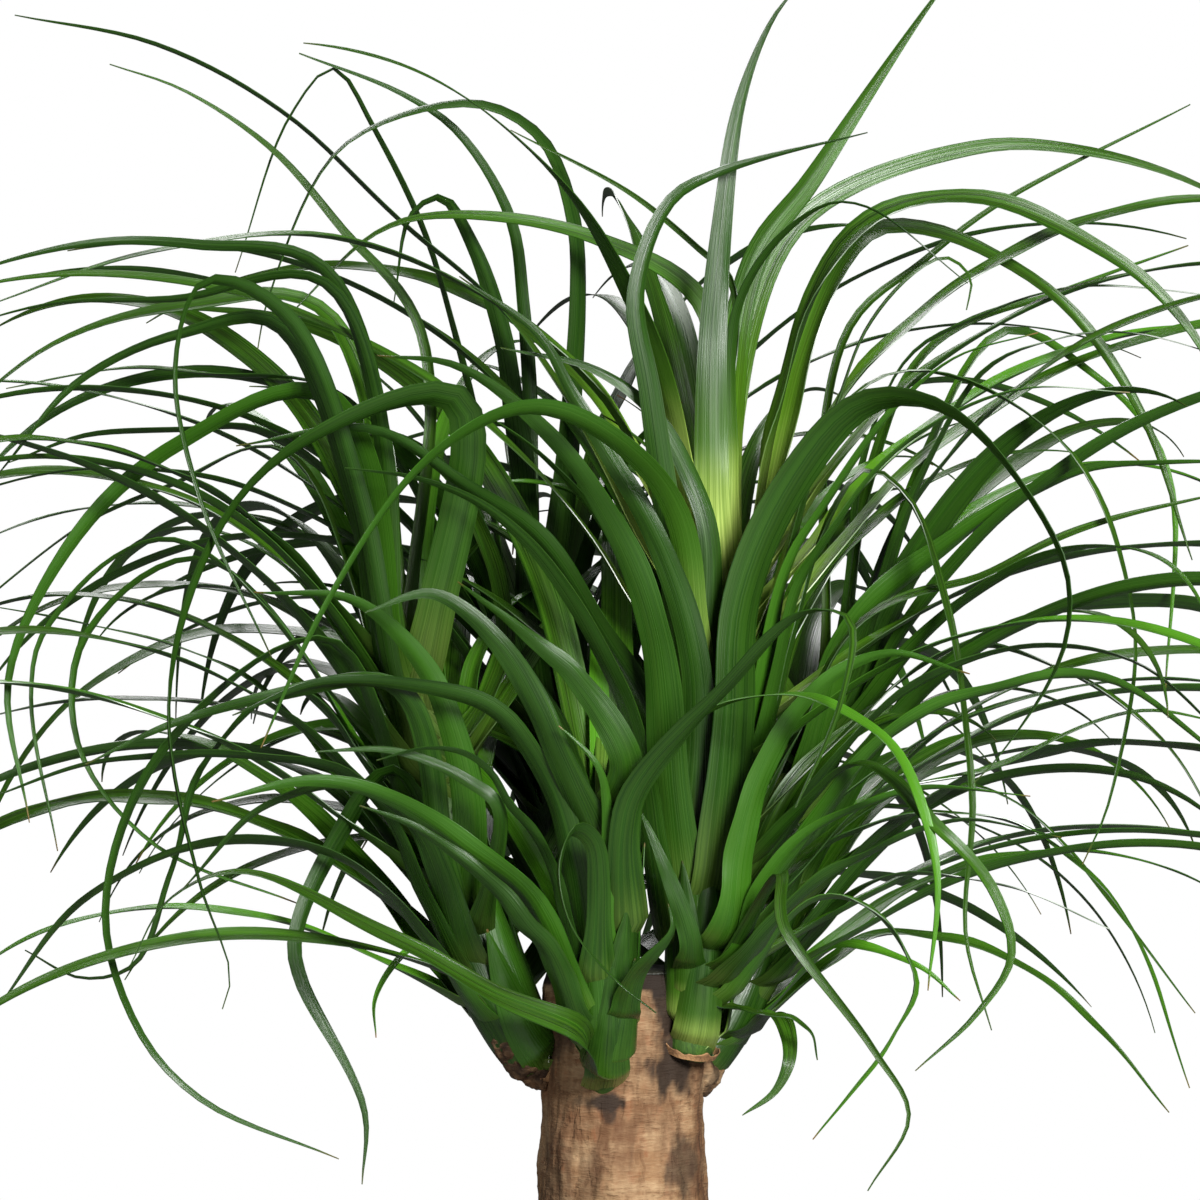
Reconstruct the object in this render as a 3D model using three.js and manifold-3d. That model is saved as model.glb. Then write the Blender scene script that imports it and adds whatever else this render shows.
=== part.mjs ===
// A potted ponytail palm: a stout trunk, swollen at the foot and cut off square at the top, with five leafy
// shoots round the cut. Millimetres, +Z up. The origin is the middle of the pot's underside; the front is -Y.
import * as THREE from "three";
import { mergeVertices } from "three/addons/utils/BufferGeometryUtils.js";
import Module from "manifold-3d";

const wasm = await Module();
wasm.setup();

// Pot and soil
const potHeight = 230;
const potFootRadius = 88;
const potMouthRadius = 122;
const potWall = 8;
const rimHeight = 36;
const rimRadius = 133;
const edgeRound = 3; // of the pot's softened edges
const potSides = 28;
const drainHoleRadius = 7;
const drainHoleCircle = 48;
const drainHoleCount = 4;
const soilTop = 204;
const soilMound = 5; // how far the soil rises towards the trunk

// Trunk
const cutHeight = 540; // the cut top, above the table
const trunkRadius = 40;
const swellingRadius = 76; // of the water-storing foot
const trunkSides = 24;
const trunkRoot = 40; // how deep the foot stands in the soil
const cutBevel = 2; // of the bark's edge at the cut
const sealThickness = 2.4;
const sealRadius = 36;
const gap = 0.3; // between pieces that touch

// Shoots
const shootSides = 8;
const shootRings = 6;
const shootFootRadius = 12;
const shootRadius = 14;
const shootTipRadius = 5;
const rootDepth = 3; // of a leaf's root in the stem
const swollenShare = 0.25; // of a stem's length, where it is thickest
const knobRadius = 18; // the woody lump that each shoot grows from
const knobTaper = 4;
const knobRoot = 8; // of a knob, behind its shoot's foot
const knobReach = 11; // of a knob, beyond its shoot's foot

// Leaves
const pathSteps = 48;
const shapedSegments = 8;
const ruledSegments = 6;
const bladeThickness = 1.2;
const keelDepth = 0.1; // of the blade's width
const taper = 2.2; // how late a blade narrows to its tip
const neckWidth = 0.6; // of a blade's width, at its root
const neckShare = 0.2; // of its length, where it reaches its full width
const steepestFall = 86; // degrees below level
const clearance = 0.6; // kept between the leaves of two shoots
const sheathShare = 0.17; // of a leaf's length, where it may grow together with others of its shoot
const lowestRuled = 492; // no ruled leaf hangs below this
const heart = {
  // the middle of the crown, seen from the front
  reach: 150,
  low: 20,
  high: 290,
  depth: 20,
  margin: 12, // a leaf nearer than this to a shaped one, and before it, hides it
  hidden: 3, // steps of a path that may do so
};
const drawLimit = 60;
const finest = 0.03; // detail smaller than this is smoothed away where leaves grow together
const goldenAngle = 137.5;
const bends = [0, 6, -6, 12, -12, 18, -18, 25, -25, 35, -35, 45, -45, 60, -60]; // to bend a leaf clear

const leafGreen = new THREE.MeshStandardMaterial({ color: 0x3f7a22, roughness: 0.45 });
const trunkBark = new THREE.MeshStandardMaterial({ color: 0xa87d58, roughness: 0.9 });
const blackWax = new THREE.MeshStandardMaterial({ color: 0x1b1d16, roughness: 0.5 });
const firedClay = new THREE.MeshStandardMaterial({ color: 0xb5623c, roughness: 0.85 });
const pottingSoil = new THREE.MeshStandardMaterial({ color: 0x2e221a, roughness: 1.0 });

// How the ruled leaves change from the oldest, low on the stem, to the youngest: [oldest, youngest].
// Angles are in degrees. "spread" is how far a leaf may differ from the rule; "unrest" is the share by
// which that grows with each draw that fails.
const ruledLeaves = {
  stemShare: [0.12, 0.97],
  slope: { ends: [30, 70], spread: 20, inwardLift: 28 },
  droop: { ends: [100, 105], spread: 60, lateness: 1.3 },
  bearing: { spread: 40, unrest: 0.07 },
  swing: { spread: 80 },
  length: { least: 300, swell: 150, spread: 90 },
  width: { least: 12, spread: 7 },
  twist: { spread: 160 },
};

// Each shoot stands with its foot in the trunk, turns up at an elbow and ends in its growing tip. It leans
// towards "facing", in degrees from +X. Its ruled leaves are drawn from its own seed.
const shoots = {
  right: {
    foot: [33, -22, 502],
    elbow: [43, -36, 528],
    tip: [46, -22, 742],
    facing: -30,
    ruled: 32,
    seed: 11,
  },
  front: {
    foot: [-9, -32, 484],
    elbow: [-9, -66, 505],
    tip: [-2, -72, 650],
    facing: 260,
    ruled: 12,
    seed: 23,
  },
  left: {
    foot: [-34, -8, 492],
    elbow: [-70, -16, 512],
    tip: [-104, -12, 690],
    facing: 185,
    ruled: 27,
    seed: 37,
  },
  back_right: {
    foot: [30, 22, 488],
    elbow: [62, 40, 508],
    tip: [96, 56, 668],
    facing: 30,
    ruled: 27,
    seed: 51,
  },
  back: {
    foot: [-6, 36, 494],
    elbow: [-8, 68, 516],
    tip: [-44, 90, 702],
    facing: 115,
    ruled: 34,
    seed: 79,
  },
};

// The leaves that give the crown its outline. Each row: the shoot, how far up it the leaf sits (0 to 1), its
// width, its twist by the tip in degrees, then points on its way: [across, depth, height above the cut].
const shapedLeaves = [
  // over the top, to the left
  ["right", 0.85, 13, 60, [-51, 20, 321], [-111, 40, 376], [-168, 50, 430], [-236, 60, 468],
    [-308, 60, 483]],
  ["left", 0.95, 7, 40, [-101, 10, 321], [-141, 20, 373], [-176, 25, 413], [-221, 30, 443],
    [-258, 30, 456]],
  ["back", 0.9, 9, 50, [-50, 70, 336], [-57, 60, 381], [-83, 50, 423], [-111, 45, 442], [-163, 40, 462]],
  ["back", 0.8, 7, 30, [-96, 60, 361], [-126, 50, 426], [-146, 45, 455], [-168, 40, 430], [-195, 30, 351]],
  ["back", 0.95, 17, 100, [-20, 50, 336], [-24, 40, 383], [-41, 30, 421], [-75, 20, 437], [-141, 10, 413],
    [-177, 0, 336], [-182, 0, 311]],
  ["right", 0.8, 21, -30, [10, -30, 256], [-53, -30, 326], [-145, -20, 366], [-234, -20, 359],
    [-321, -20, 331]],
  ["left", 0.9, 12, 30, [-146, -40, 348], [-211, -40, 362], [-260, -40, 363], [-311, -40, 352],
    [-336, -40, 341]],
  ["left", 0.85, 12, -20, [-146, -60, 341], [-221, -60, 334], [-281, -60, 332], [-326, -60, 321]],
  ["left", 0.8, 19, 20, [-150, 25, 330], [-221, 15, 333], [-285, 10, 314], [-336, 10, 276]],
  ["back", 0.85, 18, -30, [-146, 40, 291], [-199, 40, 299], [-251, 40, 303], [-311, 40, 293]],
  ["left", 0.75, 16, 30, [-170, -70, 321], [-218, -75, 316], [-266, -75, 294], [-308, -75, 246]],
  ["left", 0.7, 11, 70, [-161, -90, 321], [-203, -120, 340], [-216, -126, 300], [-205, -130, 237],
    [-170, -130, 158]],
  ["back", 0.7, 19, 20, [-61, 50, 321], [-76, 40, 366], [-91, 32, 389], [-106, 30, 380], [-115, 28, 336]],
  ["back", 0.9, 16, 30, [-181, 60, 271], [-221, 60, 272], [-270, 60, 270], [-311, 60, 256]],
  // the right shoot's tall leaves and arches
  ["right", 0.97, 12, 60, [42, 0, 331], [-12, 10, 367], [-91, 10, 379], [-123, 10, 370], [-170, 10, 326]],
  ["right", 0.98, 6, 30, [55, -10, 344], [39, 0, 361], [4, 10, 390], [-56, 20, 422]],
  ["right", 0.6, 15, 120, [14, -70, 286], [7, -75, 336], [23, -70, 381], [46, -60, 396], [121, -50, 417]],
  ["right", 0.9, 18, 50, [44, -40, 286], [46, -42, 333], [58, -40, 431], [74, -38, 473], [89, -36, 493]],
  ["right", 0.93, 17, 70, [51, 5, 271], [67, 10, 358], [94, 12, 396], [155, 14, 486], [176, 14, 511]],
  ["right", 0.88, 13, 80, [56, 20, 286], [89, 30, 376], [178, 50, 415], [235, 60, 414], [289, 70, 399],
    [339, 80, 371]],
  ["back_right", 0.95, 6, 40, [114, 60, 321], [153, 60, 358], [191, 60, 387], [289, 60, 438]],
  ["right", 0.82, 22, 110, [76, -30, 276], [114, -30, 366], [172, -20, 386], [248, -20, 354],
    [283, -20, 320], [305, -20, 276]],
  ["right", 0.86, 18, 60, [121, 5, 367], [150, 8, 371], [211, 10, 343], [257, 10, 286], [286, 10, 206]],
  ["right", 0.65, 15, 50, [104, -50, 276], [121, -52, 320], [145, -52, 348], [160, -52, 355],
    [172, -52, 345], [170, -52, 329]],
  ["right", 0.95, 8, 40, [59, -5, 336], [99, -5, 380], [121, -5, 379], [170, -5, 342]],
  ["back_right", 0.9, 12, 30, [140, 40, 302], [178, 40, 328], [229, 40, 344], [319, 40, 338]],
  ["back_right", 0.85, 10, 30, [154, 80, 311], [226, 80, 344], [289, 80, 367]],
  ["back_right", 0.8, 14, 40, [178, -15, 297], [216, -20, 316], [255, -20, 319], [314, -20, 303]],
  ["back_right", 0.75, 12, 60, [194, 60, 322], [239, 60, 300], [267, 60, 273], [280, 60, 235],
    [276, 60, 139]],
  // out to the right, towards the viewer
  ["right", 0.3, 27, -20, [49, -48, 70], [54, -56, 125], [60, -62, 186], [80, -74, 236], [111, -92, 277],
    [131, -102, 284], [159, -115, 276], [189, -130, 246], [213, -146, 201], [211, -152, 161],
    [181, -155, 111], [169, -155, 98]],
  ["right", 0.7, 14, 40, [114, -60, 286], [149, -80, 300], [219, -95, 263], [253, -100, 177],
    [241, -100, 86], [228, -100, 55]],
  ["back_right", 0.7, 21, 30, [114, 0, 171], [140, 0, 196], [184, 0, 228], [229, 0, 250], [314, 0, 256]],
  ["right", 0.4, 12, 60, [119, -30, 176], [178, -30, 198], [229, -30, 222], [300, -30, 240]],
  ["right", 0.45, 12, 60, [120, -40, 250], [141, -40, 236], [160, -40, 184], [173, -40, 86], [170, -40, 20],
    [183, -40, -27]],
  ["right", 0.3, 18, 20, [121, -60, 126], [172, -60, 156], [210, -60, 163], [255, -60, 154],
    [309, -60, 106]],
  ["right", 0.25, 16, -20, [133, -90, 122], [184, -90, 143], [235, -90, 148], [304, -90, 101]],
  ["right", 0.2, 12, 30, [119, -40, 86], [178, -40, 101], [255, -40, 131], [300, -40, 125]],
  ["back_right", 0.6, 19, 30, [170, 35, 160], [219, 40, 152], [274, 40, 114], [304, 40, 66]],
  ["right", 0.35, 11, 50, [114, -80, 106], [150, -100, 78], [178, -100, 47], [187, -100, 14],
    [170, -100, -14], [141, -100, -41]],
  // in the middle of the crown
  ["right", 0.3, 22, -20, [10, -90, 190], [-30, -100, 260], [-80, -90, 300], [-120, -80, 306]],
  ["front", 0.6, 19, 30, [-25, -80, 115], [-47, -88, 150], [-68, -92, 175], [-91, -94, 187]],
  ["left", 0.75, 15, 20, [-60, 20, 170], [-80, 15, 240], [-112, 10, 268], [-150, 10, 270]],
  ["left", 0.4, 18, -30, [-75, -60, 90], [-95, -80, 150], [-130, -90, 185], [-180, -95, 190]],
  ["left", 0.25, 17, 20, [-95, -55, 70], [-130, -75, 95], [-175, -85, 85], [-215, -90, 45]],
  ["right", 0.62, 14, 30, [44, -52, 215], [34, -56, 246], [14, -60, 280], [-15, -62, 300], [-60, -62, 310]],
  ["right", 0.5, 14, 20, [79, -50, 196], [99, -52, 231], [119, -54, 261], [138, -55, 284], [165, -56, 306],
    [205, -56, 318]],
  ["right", 0.42, 12, 30, [84, -40, 186], [104, -40, 222], [129, -40, 254], [159, -40, 276],
    [199, -40, 290], [249, -40, 288]],
  ["right", 0.18, 16, 0, [9, -50, 116], [-11, -54, 161], [-28, -56, 191], [-46, -57, 214], [-71, -58, 234],
    [-101, -58, 246], [-136, -58, 251]],
  ["right", 0.2, 17, 10, [52, -60, 26], [56, -68, 62], [64, -74, 92], [79, -80, 122], [99, -84, 146],
    [130, -86, 160], [170, -86, 150]],
  ["right", 0.16, 11, 20, [57, -52, 16], [62, -58, 40], [74, -62, 58], [91, -66, 73], [119, -70, 86],
    [150, -72, 94], [200, -72, 90]],
  ["front", 0.4, 8, 0, [-7, -92, 86], [-12, -94, 106], [-24, -96, 119], [-31, -97, 125]],
  ["front", 0.3, 9, 20, [-31, -80, 56], [-42, -90, 74], [-54, -96, 87], [-64, -98, 102], [-76, -99, 111],
    [-96, -100, 114], [-120, -100, 108]],
  ["left", 0.35, 9, 20, [-61, -90, 86], [-76, -92, 98], [-96, -94, 108], [-116, -95, 113],
    [-150, -95, 112]],
  ["right", 0.15, 12, 10, [36, -50, 17], [25, -55, 50], [14, -58, 75], [9, -60, 84]],
  ["right", 0.22, 18, 15, [22, -45, 110], [-10, -50, 170], [-42, -52, 218], [-80, -55, 244],
    [-123, -58, 270], [-190, -60, 262]],
  ["right", 0.12, 15, 20, [57, -56, 8], [70, -68, 25], [90, -76, 45], [119, -80, 61], [165, -84, 78],
    [215, -86, 70]],
  ["front", 0.35, 17, 20, [-22, -85, 60], [-34, -95, 95], [-60, -102, 130], [-85, -106, 141],
    [-146, -112, 146], [-190, -112, 130]],
  ["front", 0.12, 16, 20, [-33, -84, 14], [-44, -90, 26], [-59, -94, 44], [-77, -98, 59], [-104, -102, 77],
    [-128, -104, 86]],
  ["front", 0.2, 15, 20, [3, -80, 0], [12, -88, 12], [22, -92, 26], [20, -94, 38]],
  ["front", 0.2, 19, 40, [-42, -95, 40], [-75, -108, 65], [-110, -115, 88], [-150, -118, 98],
    [-200, -118, 88]],
  // the front shoot
  ["front", 0.85, 14, 40, [37, -100, 131], [89, -120, 139], [131, -140, 114], [151, -150, 56],
    [147, -150, -2]],
  ["front", 0.45, 17, 60, [1, -95, 86], [42, -110, 135], [89, -130, 180], [108, -135, 177],
    [104, -135, 136], [83, -130, 86]],
  ["front", 0.7, 19, 50, [-18, -100, 86], [-39, -115, 133], [-60, -125, 165], [-92, -130, 189],
    [-125, -130, 180]],
  ["front", 0.8, 18, -40, [4, -100, 107], [-21, -110, 148], [-36, -112, 161], [-80, -115, 195]],
  ["front", 0.3, 12, 60, [-12, -95, 66], [-23, -104, 74], [-30, -112, 56], [-25, -118, 29], [-3, -116, 2],
    [16, -112, -14]],
  ["front", 0.05, 18, 40, [-18, -88, -25], [-61, -100, -6], [-111, -110, 21], [-186, -120, 54],
    [-221, -120, 40], [-239, -120, 9]],
  // the left shoot
  ["left", 0.88, 19, -40, [-81, -80, 283], [-145, -110, 267], [-188, -130, 231], [-219, -140, 141],
    [-205, -140, 51], [-190, -140, 4], [-194, -140, -12]],
  ["right", 0.68, 15, 60, [29, -60, 225], [-9, -90, 267], [-47, -120, 278], [-92, -150, 254],
    [-141, -170, 184], [-172, -170, 116]],
  ["right", 0.4, 17, -20, [39, -50, 146], [23, -58, 201], [9, -62, 231], [-9, -64, 261], [-24, -64, 286],
    [-41, -64, 316], [-80, -60, 345]],
  ["left", 0.82, 17, 30, [-146, -55, 286], [-221, -60, 262], [-272, -60, 214], [-303, -60, 148],
    [-293, -60, 76]],
  ["left", 0.78, 17, 20, [-171, 0, 261], [-228, 0, 242], [-272, 0, 222], [-331, 0, 176]],
  ["left", 0.45, 12, 30, [-183, 40, 142], [-220, 40, 161], [-285, 40, 177], [-336, 40, 186]],
  ["left", 0.72, 8, 50, [-226, -20, 216], [-285, -20, 174], [-294, -20, 139], [-281, -20, 61]],
  ["left", 0.6, 10, 60, [-211, 20, 206], [-269, 20, 168], [-272, 10, 114], [-234, 0, 64], [-162, 0, 34]],
  ["left", 0.2, 12, 20, [-126, -50, 94], [-170, -50, 108], [-260, -50, 106], [-311, -50, 89]],
  ["left", 0.35, 14, 30, [-111, -100, 143], [-170, -110, 139], [-221, -110, 125], [-262, -110, 106]],
  ["left", 0.5, 13, 70, [-146, -60, 166], [-223, -70, 116], [-253, -80, 35], [-237, -80, -25],
    [-206, -80, -59], [-139, -80, -88]],
  ["left", 0.55, 12, 40, [-161, -20, 141], [-206, -20, 106], [-224, -20, 50], [-243, -20, 4],
    [-269, -20, -2], [-297, -20, 12]],
  ["left", 0.3, 14, 80, [-111, -70, 101], [-141, -85, 67], [-162, -90, 18], [-160, -90, 0],
    [-128, -90, -67], [-129, -90, -104]],
  ["left", 0.1, 16, 30, [-111, -30, 39], [-145, -30, 60], [-196, -30, 67], [-265, -30, 39],
    [-311, -30, -18]],
  ["left", 0.1, 13, 10, [-92, -34, 14], [-109, -36, 7], [-120, -36, -11], [-121, -36, -29]],
  // low on the right
  ["back_right", 0.35, 16, 40, [89, 5, 56], [140, 0, 78], [191, 0, 76], [226, 0, 56], [255, 0, 22],
    [284, 0, -58]],
  ["back_right", 0.5, 12, 30, [164, 30, 91], [195, 30, 86], [223, 30, 62], [289, 30, -22]],
  ["back_right", 0.25, 11, 20, [124, -30, 47], [191, -30, 44], [242, -30, 23]],
  ["right", 0.08, 14, 50, [89, -65, 37], [118, -70, 35], [144, -70, 0], [133, -70, -29], [94, -70, -80]],
  ["back_right", 0.05, 15, 20, [102, 20, 12], [121, 20, 12], [150, 20, 2], [169, 20, -14]],
  ["back_right", 0.12, 16, 30, [121, 60, 14], [165, 60, 14], [204, 60, 0], [242, 60, -31], [278, 60, -74]],
  ["right", 0.15, 7, 60, [75, -75, 53], [78, -80, 28], [121, -80, -31], [138, -80, -63], [118, -80, -99]],
  ["right", 0.1, 9, 30, [66, -52, -18], [79, -52, -20], [89, -50, -28], [92, -50, -41]],
  ["back_right", 0.1, 13, 10, [72, 14, -20], [79, 8, -41], [73, 6, -57], [58, 4, -69]],
];

// The same seed always gives the same draws, each from 0 to 1.
function drawsFrom(seed) {
  let state = seed;
  return () => {
    state = (1664525 * state + 1013904223) % 4294967296;
    return state / 4294967296;
  };
}

const degrees = THREE.MathUtils.degToRad;
const mix = THREE.MathUtils.lerp;
const vector = ([x, y, z]) => new THREE.Vector3(x, y, z);

function solidOf(geometry) {
  const bare = new THREE.BufferGeometry().setAttribute("position", geometry.getAttribute("position"));
  bare.setIndex(geometry.getIndex());
  const merged = mergeVertices(bare, 1e-3);
  return new wasm.Manifold(
    new wasm.Mesh({
      numProp: 3,
      vertProperties: merged.attributes.position.array,
      triVerts: new Uint32Array(merged.index.array),
    }),
  );
}

function geometryOf(solid) {
  const mesh = solid.getMesh();
  const geometry = new THREE.BufferGeometry();
  geometry.setAttribute("position", new THREE.BufferAttribute(mesh.vertProperties, 3));
  geometry.setIndex(new THREE.BufferAttribute(mesh.triVerts, 1));
  geometry.computeVertexNormals();
  return geometry;
}

// A solid of revolution about +Z, from [radius, height] pairs that start and end on the axis, lowest first.
function turned(profile, sides) {
  const points = profile.map(([radius, height]) => new THREE.Vector2(radius, height));
  return new THREE.LatheGeometry(points, sides).rotateX(Math.PI / 2);
}

// ---- pot ----
const wallRadiusAt = (height) => mix(potFootRadius, potMouthRadius, height / potHeight);

function pot() {
  const rimFoot = potHeight - rimHeight;
  const body = solidOf(
    turned(
      [
        [0, 0],
        [potFootRadius - edgeRound, 0],
        [potFootRadius, edgeRound],
        [wallRadiusAt(rimFoot), rimFoot],
        [rimRadius - edgeRound, rimFoot],
        [rimRadius, rimFoot + edgeRound],
        [rimRadius, potHeight - edgeRound],
        [rimRadius - edgeRound, potHeight],
        [potMouthRadius - potWall + edgeRound, potHeight],
        [potMouthRadius - potWall, potHeight - edgeRound],
        [wallRadiusAt(potWall) - potWall, potWall],
        [0, potWall],
      ],
      potSides,
    ),
  );
  let drained = body;
  for (let i = 0; i < drainHoleCount; i++) {
    const angle = ((i + 0.5) * 2 * Math.PI) / drainHoleCount;
    const drill = new THREE.CylinderGeometry(drainHoleRadius, drainHoleRadius, 3 * potWall, 12)
      .rotateX(Math.PI / 2)
      .translate(drainHoleCircle * Math.cos(angle), drainHoleCircle * Math.sin(angle), 0);
    drained = drained.subtract(solidOf(drill));
  }
  return drained;
}

// ---- trunk ----
// The bark's broad furrows and bulges, as a share of the radius.
const barkRelief = (angle, height) =>
  0.018 * Math.sin(3 * angle + height / 60) +
  0.012 * Math.sin(7 * angle - height / 35) +
  0.01 * Math.sin(height / 11);

// The trunk's outline: [radius, height above its foot].
const trunkProfile = [
  [34, 0],
  [58, 8],
  [71, 24],
  [swellingRadius, 46],
  [74, 76],
  [66, 112],
  [55, 152],
  [47, 192],
  [43, 236],
  [trunkRadius + 1, 290],
  [trunkRadius, 335],
];

function trunkBody(grown = 0) {
  const foot = soilTop - trunkRoot;
  const column = trunkProfile.map(([radius, height]) => [radius + grown, foot + (height || -grown)]);
  const geometry = turned(
    [
      [0, foot - grown],
      ...column,
      [trunkRadius + grown, cutHeight - 4 * cutBevel],
      [trunkRadius - cutBevel + grown, cutHeight],
      [0, cutHeight],
    ],
    trunkSides,
  );
  const position = geometry.getAttribute("position");
  for (let i = 0; i < position.count; i++) {
    const [x, y, z] = [position.getX(i), position.getY(i), position.getZ(i)];
    const swell = 1 + barkRelief(Math.atan2(y, x), z);
    position.setXY(i, x * swell, y * swell);
  }
  return solidOf(geometry);
}

// A round bar along a path, its radius given at each share of its length.
function bar(path, radiusAt, sides, rings) {
  const geometry = new THREE.CylinderGeometry(1, 1, 1, sides, rings);
  const frames = path.computeFrenetFrames(rings);
  const position = geometry.getAttribute("position");
  for (let i = 0; i < position.count; i++) {
    const share = position.getY(i) + 0.5;
    const ring = Math.round(share * rings);
    const radius = radiusAt(share);
    const spot = path
      .getPointAt(share)
      .addScaledVector(frames.normals[ring], radius * position.getX(i))
      .addScaledVector(frames.binormals[ring], -radius * position.getZ(i));
    position.setXYZ(i, spot.x, spot.y, spot.z);
  }
  return solidOf(geometry);
}

const shootPath = ({ foot, elbow, tip }) =>
  new THREE.QuadraticBezierCurve3(vector(foot), vector(elbow), vector(tip));

const shootRadiusAt = (share) =>
  share < swollenShare
    ? mix(shootFootRadius, shootRadius, share / swollenShare)
    : mix(shootRadius, shootTipRadius, (share - swollenShare) / (1 - swollenShare));

const stem = (shoot, grown = 0) => {
  const path = shootPath(shoot);
  const foot = path.getPoint(0).addScaledVector(path.getTangent(0), -grown);
  const grownPath = new THREE.QuadraticBezierCurve3(foot, vector(shoot.elbow), vector(shoot.tip));
  return bar(grownPath, (share) => shootRadiusAt(share) + grown, shootSides, shootRings);
};

function knob(shoot) {
  const outward = vector(shoot.elbow).sub(vector(shoot.foot)).normalize();
  const inner = vector(shoot.foot).addScaledVector(outward, -knobRoot);
  const outer = vector(shoot.foot).addScaledVector(outward, knobReach);
  const path = new THREE.LineCurve3(inner, outer);
  return bar(path, (share) => mix(knobRadius, knobRadius - knobTaper, share), shootSides, 2);
}

// ---- leaves ----
// An arching path, from its bearing and slope at the root, how far its slope falls and how far it swings.
function archedPath({ root, bearing, slope, droop, swing, length }) {
  const path = [root.clone()];
  for (let k = 1; k <= pathSteps; k++) {
    const share = (k - 0.5) / pathSteps;
    const nowSlope = Math.max(slope - droop * share ** ruledLeaves.droop.lateness, degrees(-steepestFall));
    const nowBearing = bearing + swing * share * share;
    const step = new THREE.Vector3(
      Math.cos(nowSlope) * Math.cos(nowBearing),
      Math.cos(nowSlope) * Math.sin(nowBearing),
      Math.sin(nowSlope),
    );
    path.push(path[k - 1].clone().addScaledVector(step, length / pathSteps));
  }
  return path;
}

// A smooth path through given points, moved bodily back or forward beyond its root.
function guidedPath(root, points, shift) {
  const guides = points.map(([across, depth, height], i) => {
    const share = Math.min(1, (i + 1) / 2);
    return new THREE.Vector3(across, depth + shift * share, cutHeight + height);
  });
  return new THREE.CatmullRomCurve3([root, ...guides], false, "centripetal").getSpacedPoints(pathSteps);
}

// Where the blade's two edges point at each step: level at the root, then carried along without turning.
function sidesAlong(path, twist) {
  const reach = path[Math.round(pathSteps / 3)].clone().sub(path[0]);
  let side = new THREE.Vector3(-reach.y, reach.x, 0).normalize();
  return path.map((spot, k) => {
    const along = path[Math.min(k + 1, pathSteps)].clone().sub(path[Math.max(k - 1, 0)]).normalize();
    side = side.clone().addScaledVector(along, -side.dot(along)).normalize();
    const turn = degrees(twist) * (k / pathSteps) ** 1.5;
    const turned = side.clone().applyAxisAngle(along, turn);
    return { side: turned, face: along.clone().cross(turned) };
  });
}

const bladeWidthAt = (width, share) =>
  width * mix(neckWidth, 1, Math.min(1, share / neckShare)) * (1 - share ** taper);

// A warped four-cornered face parts along the diagonal that stands outward, so that the upper and the
// lower side of a twisted blade never cross.
function splitOutward(corners, [a, b, c, d]) {
  const [p, q, r, s] = [a, b, c, d].map((i) => corners[i]);
  const outward = r.clone().sub(p).cross(s.clone().sub(q));
  const lift = p.clone().add(r).sub(q).sub(s).dot(outward);
  return lift > 0 ? [a, b, c, a, c, d] : [a, b, d, b, c, d];
}

// One closed blade, flat above, keeled below and drawn out to a point, with or without the stretch at
// its root.
function blade({ path, width, twist, segments }, grown = 0, rootShare = 0) {
  const sides = sidesAlong(path, twist);
  const corners = [];
  for (let k = Math.round(rootShare * segments); k < segments; k++) {
    const at = (k * pathSteps) / segments;
    const { side, face } = sides[at];
    const wide = bladeWidthAt(width, at / pathSteps);
    const keel = Math.max(bladeThickness, wide * keelDepth);
    const middle = path[at].clone().addScaledVector(face, grown);
    corners.push(middle.clone().addScaledVector(side, wide / 2 + grown));
    corners.push(middle.clone().addScaledVector(side, -wide / 2 - grown));
    corners.push(path[at].clone().addScaledVector(face, -keel - grown));
  }
  corners.push(path[pathSteps].clone());
  const tip = corners.length - 1;
  const faces = [0, 2, 1];
  for (let ring = 0; ring < tip; ring += 3) {
    for (let corner = 0; corner < 3; corner++) {
      const [near, nearNext] = [ring + corner, ring + ((corner + 1) % 3)];
      if (ring + 3 === tip) faces.push(near, nearNext, tip);
      else faces.push(...splitOutward(corners, [near, nearNext, nearNext + 3, near + 3]));
    }
  }
  const geometry = new THREE.BufferGeometry().setFromPoints(corners);
  geometry.setIndex(faces);
  return solidOf(geometry);
}

// A leaf's root lies just inside the stem's surface, on the side that the leaf leaves by.
function rootAt(shoot, share, bearing) {
  const reach = shootRadiusAt(share) - rootDepth;
  const spot = shootPath(shoot).getPointAt(share);
  return spot.add(new THREE.Vector3(reach * Math.cos(bearing), reach * Math.sin(bearing), 0));
}

// The youngest leaves stand up round the growing tip; lower down they are longer, flatter and droop more.
function ruledLeaf(shoot, index, attempt, draw) {
  const { stemShare, slope, droop, swing, length, width, twist } = ruledLeaves;
  const age = (index + 0.5) / shoot.ruled; // 0 is the oldest and lowest
  const jitter = ({ spread }) => (draw() - 0.5) * spread;
  const aim = jitter(ruledLeaves.bearing) * (1 + ruledLeaves.bearing.unrest * attempt);
  const bearing = degrees(shoot.facing + index * goldenAngle + aim);
  const inward = Math.max(0, -Math.cos(bearing - degrees(shoot.facing)));
  return {
    root: rootAt(shoot, mix(...stemShare, age ** 0.8), bearing),
    bearing,
    slope: degrees(mix(...slope.ends, age) + slope.inwardLift * inward * (1 - age) + jitter(slope)),
    droop: degrees(mix(...droop.ends, age) + jitter(droop)),
    swing: degrees(jitter(swing)),
    length: length.least + length.swell * Math.sin(Math.PI * mix(0.15, 0.85, age)) + jitter(length),
    width: width.least + width.spread * draw(),
    twist: jitter(twist),
    segments: ruledSegments,
  };
}

const placed = Object.fromEntries(Object.keys(shoots).map((name) => [name, []]));
const obstacles = [];

const boxesMeet = (a, b) => [0, 1, 2].every((i) => a.min[i] <= b.max[i] && b.min[i] <= a.max[i]);

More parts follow.
